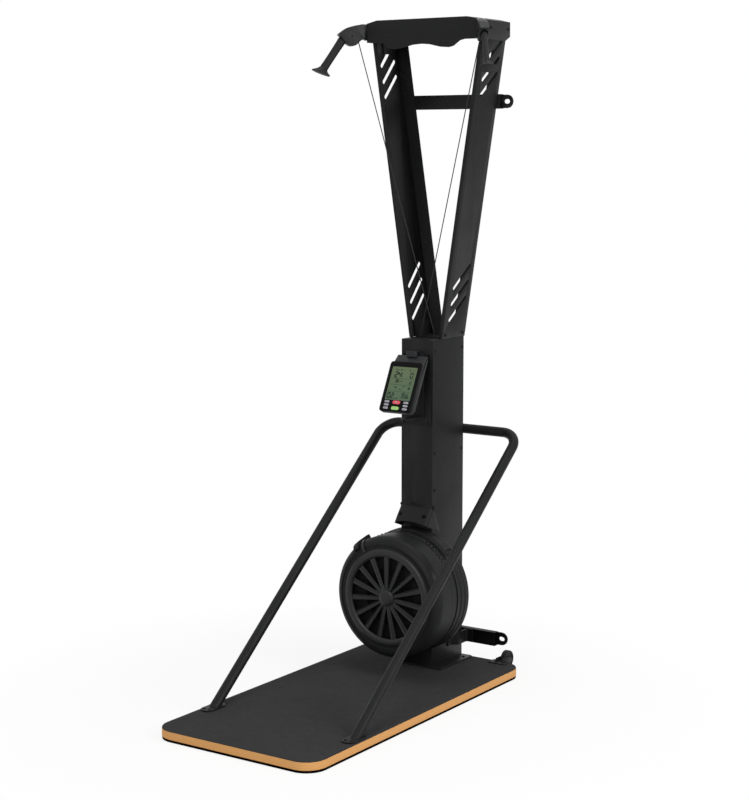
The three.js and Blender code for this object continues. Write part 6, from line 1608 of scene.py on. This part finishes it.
def bezel():
    """The console's bezel round the display, a little taller than the case behind it."""
    outer = (BEZEL_WIDTH, BEZEL_HEIGHT, BEZEL_CORNER, BEZEL_MIDDLE)
    inset = 2 * BEZEL_EDGE
    face = (BEZEL_WIDTH - inset, BEZEL_HEIGHT - inset, BEZEL_CORNER - BEZEL_EDGE, BEZEL_MIDDLE)
    middle = tuple(np.add(outer, face) / 2)
    step = BEZEL_STEP_SHARE * BEZEL_EDGE
    rows = ((outer, BEZEL_DEPTH), (outer, BEZEL_EDGE), (middle, step), (face, 0.0))
    window = (WINDOW_WIDTH, WINDOW_HEIGHT, WINDOW_CORNER, SCREEN_MIDDLE)
    return on_face(window_frame(rows, window))


def case_tab():
    """The tab on the case's roof: a low rounded block above the middle of its back edge."""
    low, high = CASE_HIGH.z - TAB_SINK, CASE_HIGH.z + TAB_RISE
    points, faces = slab(TAB_WIDTH, TAB_DEPTH, TAB_CORNER, low, high, TAB_EDGE)
    return points + (0, CASE_HIGH.y - TAB_DEPTH / 2 - TAB_BACK, 0), faces


def case_ribs():
    """Two fine ribs down each flank of the console's case, as low slabs that run along the face."""
    points, faces = slab(RIB_WIDTH, RIB_LENGTH, RIB_WIDTH / 2, -RIB_SINK, RIB_RISE, RIB_EDGE)
    parts = []
    for flank, sign in ((CASE_HIGH.x, 1), (CASE_LOW.x, -1)):
        for depth in RIB_DEPTHS:
            rib = np.column_stack([flank + sign * points[:, 2], depth + points[:, 0], points[:, 1]])
            parts.append((on_console(rib), faces))
    return joined(parts)


# Transport wheels
def transport_wheel(side):
    """A wheel turned about X: a rounded tread, recessed faces and a raised hub."""
    low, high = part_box(f"{side}_wheel")
    middle = (low + high) / 2
    radius = (high.z - low.z) / 2
    half = (high.x - low.x) / 2
    sunk = -half + WHEEL_RECESS
    face = [(WHEEL_BORE, -half), (WHEEL_HUB[0], -half), (WHEEL_HUB[1], sunk), (radius - WHEEL_RIM[0], sunk)]
    face += [(radius - WHEEL_RIM[1], -half), (radius - WHEEL_EDGE, -half)]
    corner = arc((radius - WHEEL_EDGE, -half + WHEEL_EDGE), WHEEL_EDGE, 0, 90, 6)
    profile = np.array([*face, *corner[1:]])
    mirrored = (profile * (1, -1))[::-1]
    return turned(np.concatenate([profile, mirrored]), middle, (1, 0, 0), ROUND_SIDES // 2)


# Stage
def not_lighting(tree):
    """1 for a ray from the camera or one seen in a reflection or through glass, 0 for one that lights."""
    rays = tree.nodes.new("ShaderNodeLightPath")
    seen = maths(tree, "MAXIMUM", rays.outputs["Is Camera Ray"], rays.outputs["Is Glossy Ray"])
    return maths(tree, "MAXIMUM", seen, rays.outputs["Is Transmission Ray"])


def make_floor(stage):
    """A pale floor that fades into the white backdrop away from the object."""
    corners = stage.floor_reach * np.array([(-1, -1), (1, -1), (1, 1), (-1, 1)])
    mesh = mesh_of("floor", (at_level(corners, FLOOR_LEVEL), [range(4)]))
    made, tree, shader, position = start_material("floor", 0.0)
    shader.inputs["Base Color"].default_value = (*stage.floor, 1.0)
    shader.inputs["Roughness"].default_value = FLOOR_ROUGHNESS
    white = tree.nodes.new("ShaderNodeEmission")
    distance = tree.nodes.new("ShaderNodeVectorMath")
    distance.operation = "LENGTH"
    tree.links.new(position, distance.inputs[0])
    far = map_range(tree, distance.outputs["Value"], FLOOR_FADE, FLOOR_WHITE_SHARES, True)
    blend = tree.nodes.new("ShaderNodeMixShader")
    tree.links.new(maths(tree, "MULTIPLY", not_lighting(tree), far), blend.inputs[0])
    tree.links.new(shader.outputs[0], blend.inputs[1])
    tree.links.new(white.outputs[0], blend.inputs[2])
    tree.links.new(blend.outputs[0], tree.nodes["Material Output"].inputs["Surface"])
    mesh.materials.append(made)
    linked("floor", mesh)


def make_world(scene, stage):
    """An even, pale world: white to the camera and in reflections, softer as a light."""
    world = bpy.data.worlds.new("studio")
    scene.world = world
    world.use_nodes = True
    tree = world.node_tree
    ground = tree.nodes["Background"]
    strength = map_range(tree, not_lighting(tree), (0.0, 1.0), (stage.ambient, 1.0))
    ground.inputs["Color"].default_value = (1.0, 1.0, 1.0, 1.0)
    tree.links.new(strength, ground.inputs["Strength"])


def make_lamps():
    """Three broad area lamps: a key from the right, a fill from the front and one overhead."""
    target = (CAD_LOW + CAD_HIGH) / 2
    for name, place, size, power in LAMPS:
        lamp = bpy.data.lights.new(name, "AREA")
        lamp.shape = "DISK"
        lamp.size = size
        lamp.energy = power
        made = linked(name, lamp)
        made.location = place
        made.rotation_euler = (target - Vector(place)).to_track_quat("-Z", "Y").to_euler()


def make_camera(scene, stage):
    """The camera at the photograph's angle: position and view direction, upright, with a small shift."""
    lens = bpy.data.cameras.new("camera")
    lens.sensor_fit = "VERTICAL"
    lens.sensor_height = FILM_HEIGHT
    lens.lens = stage.lens
    lens.shift_x, lens.shift_y = CAMERA_SHIFT
    lens.clip_end = VIEW_END
    camera = linked("camera", lens)
    camera.location = CAMERA_PLACE
    camera.rotation_euler = Vector(CAMERA_AIM).to_track_quat("-Z", "Y").to_euler()
    scene.camera = camera


# Operators, one for each group of pieces
class TRAINER_OT_materials(bpy.types.Operator):
    """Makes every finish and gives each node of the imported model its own"""

    bl_idname = "trainer.materials"
    bl_label = "Finishes"

    def execute(self, context):
        make_materials(context.scene.trainer_finish)
        for name, node in NODES.items():
            node.data.materials.clear()
            node.data.materials.append(finish_of(OWN_FINISH.get(name, SLOT_OF[name])))
        return {"FINISHED"}


class TRAINER_OT_steel(bpy.types.Operator):
    """Rounds the edges of the sheet steel and mouldings that keep their packed outline"""

    bl_idname = "trainer.steel"
    bl_label = "Rounded edges"

    def execute(self, context):
        for node, width in ROUNDED_NODES.items():
            rounded_copy(node, width)
        return {"FINISHED"}


class TRAINER_OT_platform(bpy.types.Operator):
    """Makes the pad, board and mat and the hoop's foot plates"""

    bl_idname = "trainer.platform"
    bl_label = "Platform"

    def execute(self, context):
        platform = context.scene.trainer_platform
        for name, node, shape in platform_plates(platform):
            add_piece(name, shape, OWN_FINISH.get(node, SLOT_OF[node]), "frame", [node], SLOT_OF[node])
        for side in SIDES:
            node = f"{side}_hoop_foot"
            add_piece(f"{side}_foot_plate", foot_plate(platform, node), "dark_steel", "frame", [node])
        return {"FINISHED"}


class TRAINER_OT_tubes(bpy.types.Operator):
    """Makes the bent support hoop, the wall straps and the two pull cords"""

    bl_idname = "trainer.tubes"
    bl_label = "Hoop, straps and cords"

    def execute(self, context):
        tube = context.scene.trainer_tube
        add_piece("hoop", hoop_tube(tube), "dark_steel", "frame", ["support_hoop"])
        for side in SIDES:
            cord = swept(cord_path(tube, side), tube.cord_radius, CORNER_STEPS)
            add_piece(f"{side}_pull_cord", cord, "cord", "frame", [f"{side}_cord"])
            strap = wall_strap(tube, side)
            add_piece(f"{side}_strap", strap, "dark_steel", "frame", [f"{side}_wall_strap"], "zinc")
        return {"FINISHED"}


class TRAINER_OT_fan(bpy.types.Operator):
    """Makes the fan's shells, vent band, teeth, grille and fine screen"""

    bl_idname = "trainer.fan"
    bl_label = "Fan"

    def execute(self, context):
        fan = context.scene.trainer_fan
        add_piece("front_shell", fan_front_shell(fan), "black_plastic", "frame", ["fan_front_housing"])
        add_piece("rear_shell", rear_shell(fan), "black_plastic", "frame", ["fan_rear_housing"])
        add_piece("grille", grille(fan), "grille_black", "frame", ["fan_grille"], "black_plastic")
        add_piece("wire_screen", wire_screen(fan), "wire_black", "frame", ["fan_mesh"], "zinc")
        add_piece("vent_teeth", vent_teeth(fan), "grille_black", slot="black_plastic")
        add_piece("damper_bar", damper_bar(fan), "grille_black", "damper", slot="black_plastic")
        band = add_piece("vent_band", vent_band(), "black_plastic", "frame", ["fan_vent_band"])
        thicken(band, fan.wall, FAN_CENTRE)
        return {"FINISHED"}


class TRAINER_OT_collar(bpy.types.Operator):
    """Makes the collar between the fan and the column"""

    bl_idname = "trainer.collar"
    bl_label = "Collar"

    def execute(self, context):
        replaced = ["collar_cover"]
        made = add_piece("collar", collar(), "black_plastic", "frame", replaced, smooth_angle=COLLAR_ANGLE)
        thicken(made, COLLAR_WALL, (0.0, COLUMN_HIGH.y, COLLAR_TOP - COLLAR_HEIGHT))
        return {"FINISHED"}


class TRAINER_OT_hoods(bpy.types.Operator):
    """Makes the hoods with their pulleys and the pull grips"""

    bl_idname = "trainer.hoods"
    bl_label = "Hoods and grips"

    def execute(self, context):
        hood = context.scene.trainer_hood
        for side in SIDES:
            mesh = hood_mesh(hood, side)
            show(f"{side}_hood_shell", mesh, "hood_plastic", "frame", "hood_plastic", [f"{side}_hood"])
            name, replaced = f"{side}_pulley_wheel", [f"{side}_hood_pulley"]
            add_piece(name, hood_pulley(hood, side), "black_plastic", f"{side}_pulley", replaced)
            name, replaced = f"{side}_grip", [f"{side}_handle"]
            add_piece(name, grip(hood, side), "rubber", f"{side}_pull", replaced, smooth_angle=SOFT_ANGLE)
            add_piece(f"{side}_hood_screws", joined(hood_screws(side)), "bright_steel")
        return {"FINISHED"}


class TRAINER_OT_console(bpy.types.Operator):
    """Makes the console's bezel, tab, ribs, display digits, keys and their marks"""

    bl_idname = "trainer.console"
    bl_label = "Console"

    def execute(self, context):
        add_piece("display_digits", display_marks(), "display_ink", "console", slot="screen")
        add_piece("case_ribs", case_ribs(), "case_grey", "console", slot="black_plastic")
        wells = []
        for _, x, z, long, wide, _ in KEYS:
            room = wide + KEY_ROOM
            well = slab(long + KEY_ROOM, room, room / 2, -BEZEL_REACH, BEZEL_REACH, KEY_EDGE)
            wells.append(on_face(well, x, z))
        mesh = carved("bezel", bezel(), wells)
        show("bezel", mesh, "bezel_black", "console", "black_plastic", ["console_bezel"])
        add_piece("case_tab", case_tab(), "case_grey", "console", slot="black_plastic")
        for node, x, z, long, wide, finish in KEYS:
            body = on_face(slab(long, wide, wide / 2, -KEY_BACK, KEY_PROUD, KEY_EDGE), x, z)
            add_piece(f"{node}_top", body, finish, f"{node}_cap", [node])
            ink = "display_ink" if finish == "key_white" else "key_white"
            marks = on_face(joined(key_marks(node, long)), x, z)
            add_piece(f"{node}_mark", marks, ink, f"{node}_cap", slot=finish)
        return {"FINISHED"}


class TRAINER_OT_fasteners(bpy.types.Operator):
    """Makes the screws and the transport wheels"""

    bl_idname = "trainer.fasteners"
    bl_label = "Screws and wheels"

    def execute(self, context):
        places = mirrored_pairs(button_screw_places())
        heads = [screw_head(place, normal, SCREW_RADIUS) for place, normal in places]
        sunk = list(mirrored_pairs([COLLAR_SCREW]))
        heads += [screw_head(place, normal, COLLAR_SCREW_RADIUS) for place, normal in sunk]
        # Dark discs round the collar's sunk screws: painted shade of their recesses, which the collar does
        # not cut
        recess_shades = [recess(place, normal, RECESS_RADIUS) for place, normal in sunk]
        add_piece("collar_recess_shades", joined(recess_shades), "painted_shade_black", slot="black_plastic")
        add_piece("button_screws", joined(heads), "screw_black", slot="dark_steel")
        for side in SIDES:
            body = f"{side}_transport_wheel"
            add_piece(f"{side}_tyre", transport_wheel(side), "rubber", body, [f"{side}_wheel"])
        return {"FINISHED"}


class TRAINER_OT_stage(bpy.types.Operator):
    """Sets the floor, the lamps, the world and the camera"""

    bl_idname = "trainer.stage"
    bl_label = "Stage"

    def execute(self, context):
        stage = context.scene.trainer_stage
        make_floor(stage)
        make_world(context.scene, stage)
        make_lamps()
        make_camera(context.scene, stage)
        context.scene.view_settings.view_transform = "Standard"
        return {"FINISHED"}


class TRAINER_PT_panel(bpy.types.Panel):
    """Lists the steps that dress the machine"""

    bl_idname = "TRAINER_PT_panel"
    bl_label = "Ski trainer"
    bl_space_type = "VIEW_3D"
    bl_region_type = "UI"
    bl_category = "Ski trainer"

    def draw(self, context):
        for step in STEPS:
            self.layout.operator(step.bl_idname)


SETTINGS = {
    "trainer_finish": TrainerFinish,
    "trainer_platform": TrainerPlatform,
    "trainer_fan": TrainerFan,
    "trainer_tube": TrainerTube,
    "trainer_hood": TrainerHood,
    "trainer_stage": TrainerStage,
}
STEPS = (
    TRAINER_OT_stage,
    TRAINER_OT_materials,
    TRAINER_OT_tubes,
    TRAINER_OT_platform,
    TRAINER_OT_steel,
    TRAINER_OT_fan,
    TRAINER_OT_collar,
    TRAINER_OT_hoods,
    TRAINER_OT_console,
    TRAINER_OT_fasteners,
)


def register():
    """Registers settings, operators and panel."""
    for name, group in SETTINGS.items():
        bpy.utils.register_class(group)
        setattr(bpy.types.Scene, name, PointerProperty(type=group))
    for step in (*STEPS, TRAINER_PT_panel):
        bpy.utils.register_class(step)


def unregister():
    """Takes back what register did."""
    for step in (TRAINER_PT_panel, *reversed(STEPS)):
        bpy.utils.unregister_class(step)
    for name, group in SETTINGS.items():
        delattr(bpy.types.Scene, name)
        bpy.utils.unregister_class(group)


def main():
    """Runs every step in order."""
    register()
    for step in STEPS:
        area, name = step.bl_idname.split(".")
        getattr(getattr(bpy.ops, area), name)()


if __name__ == "__main__":
    main()
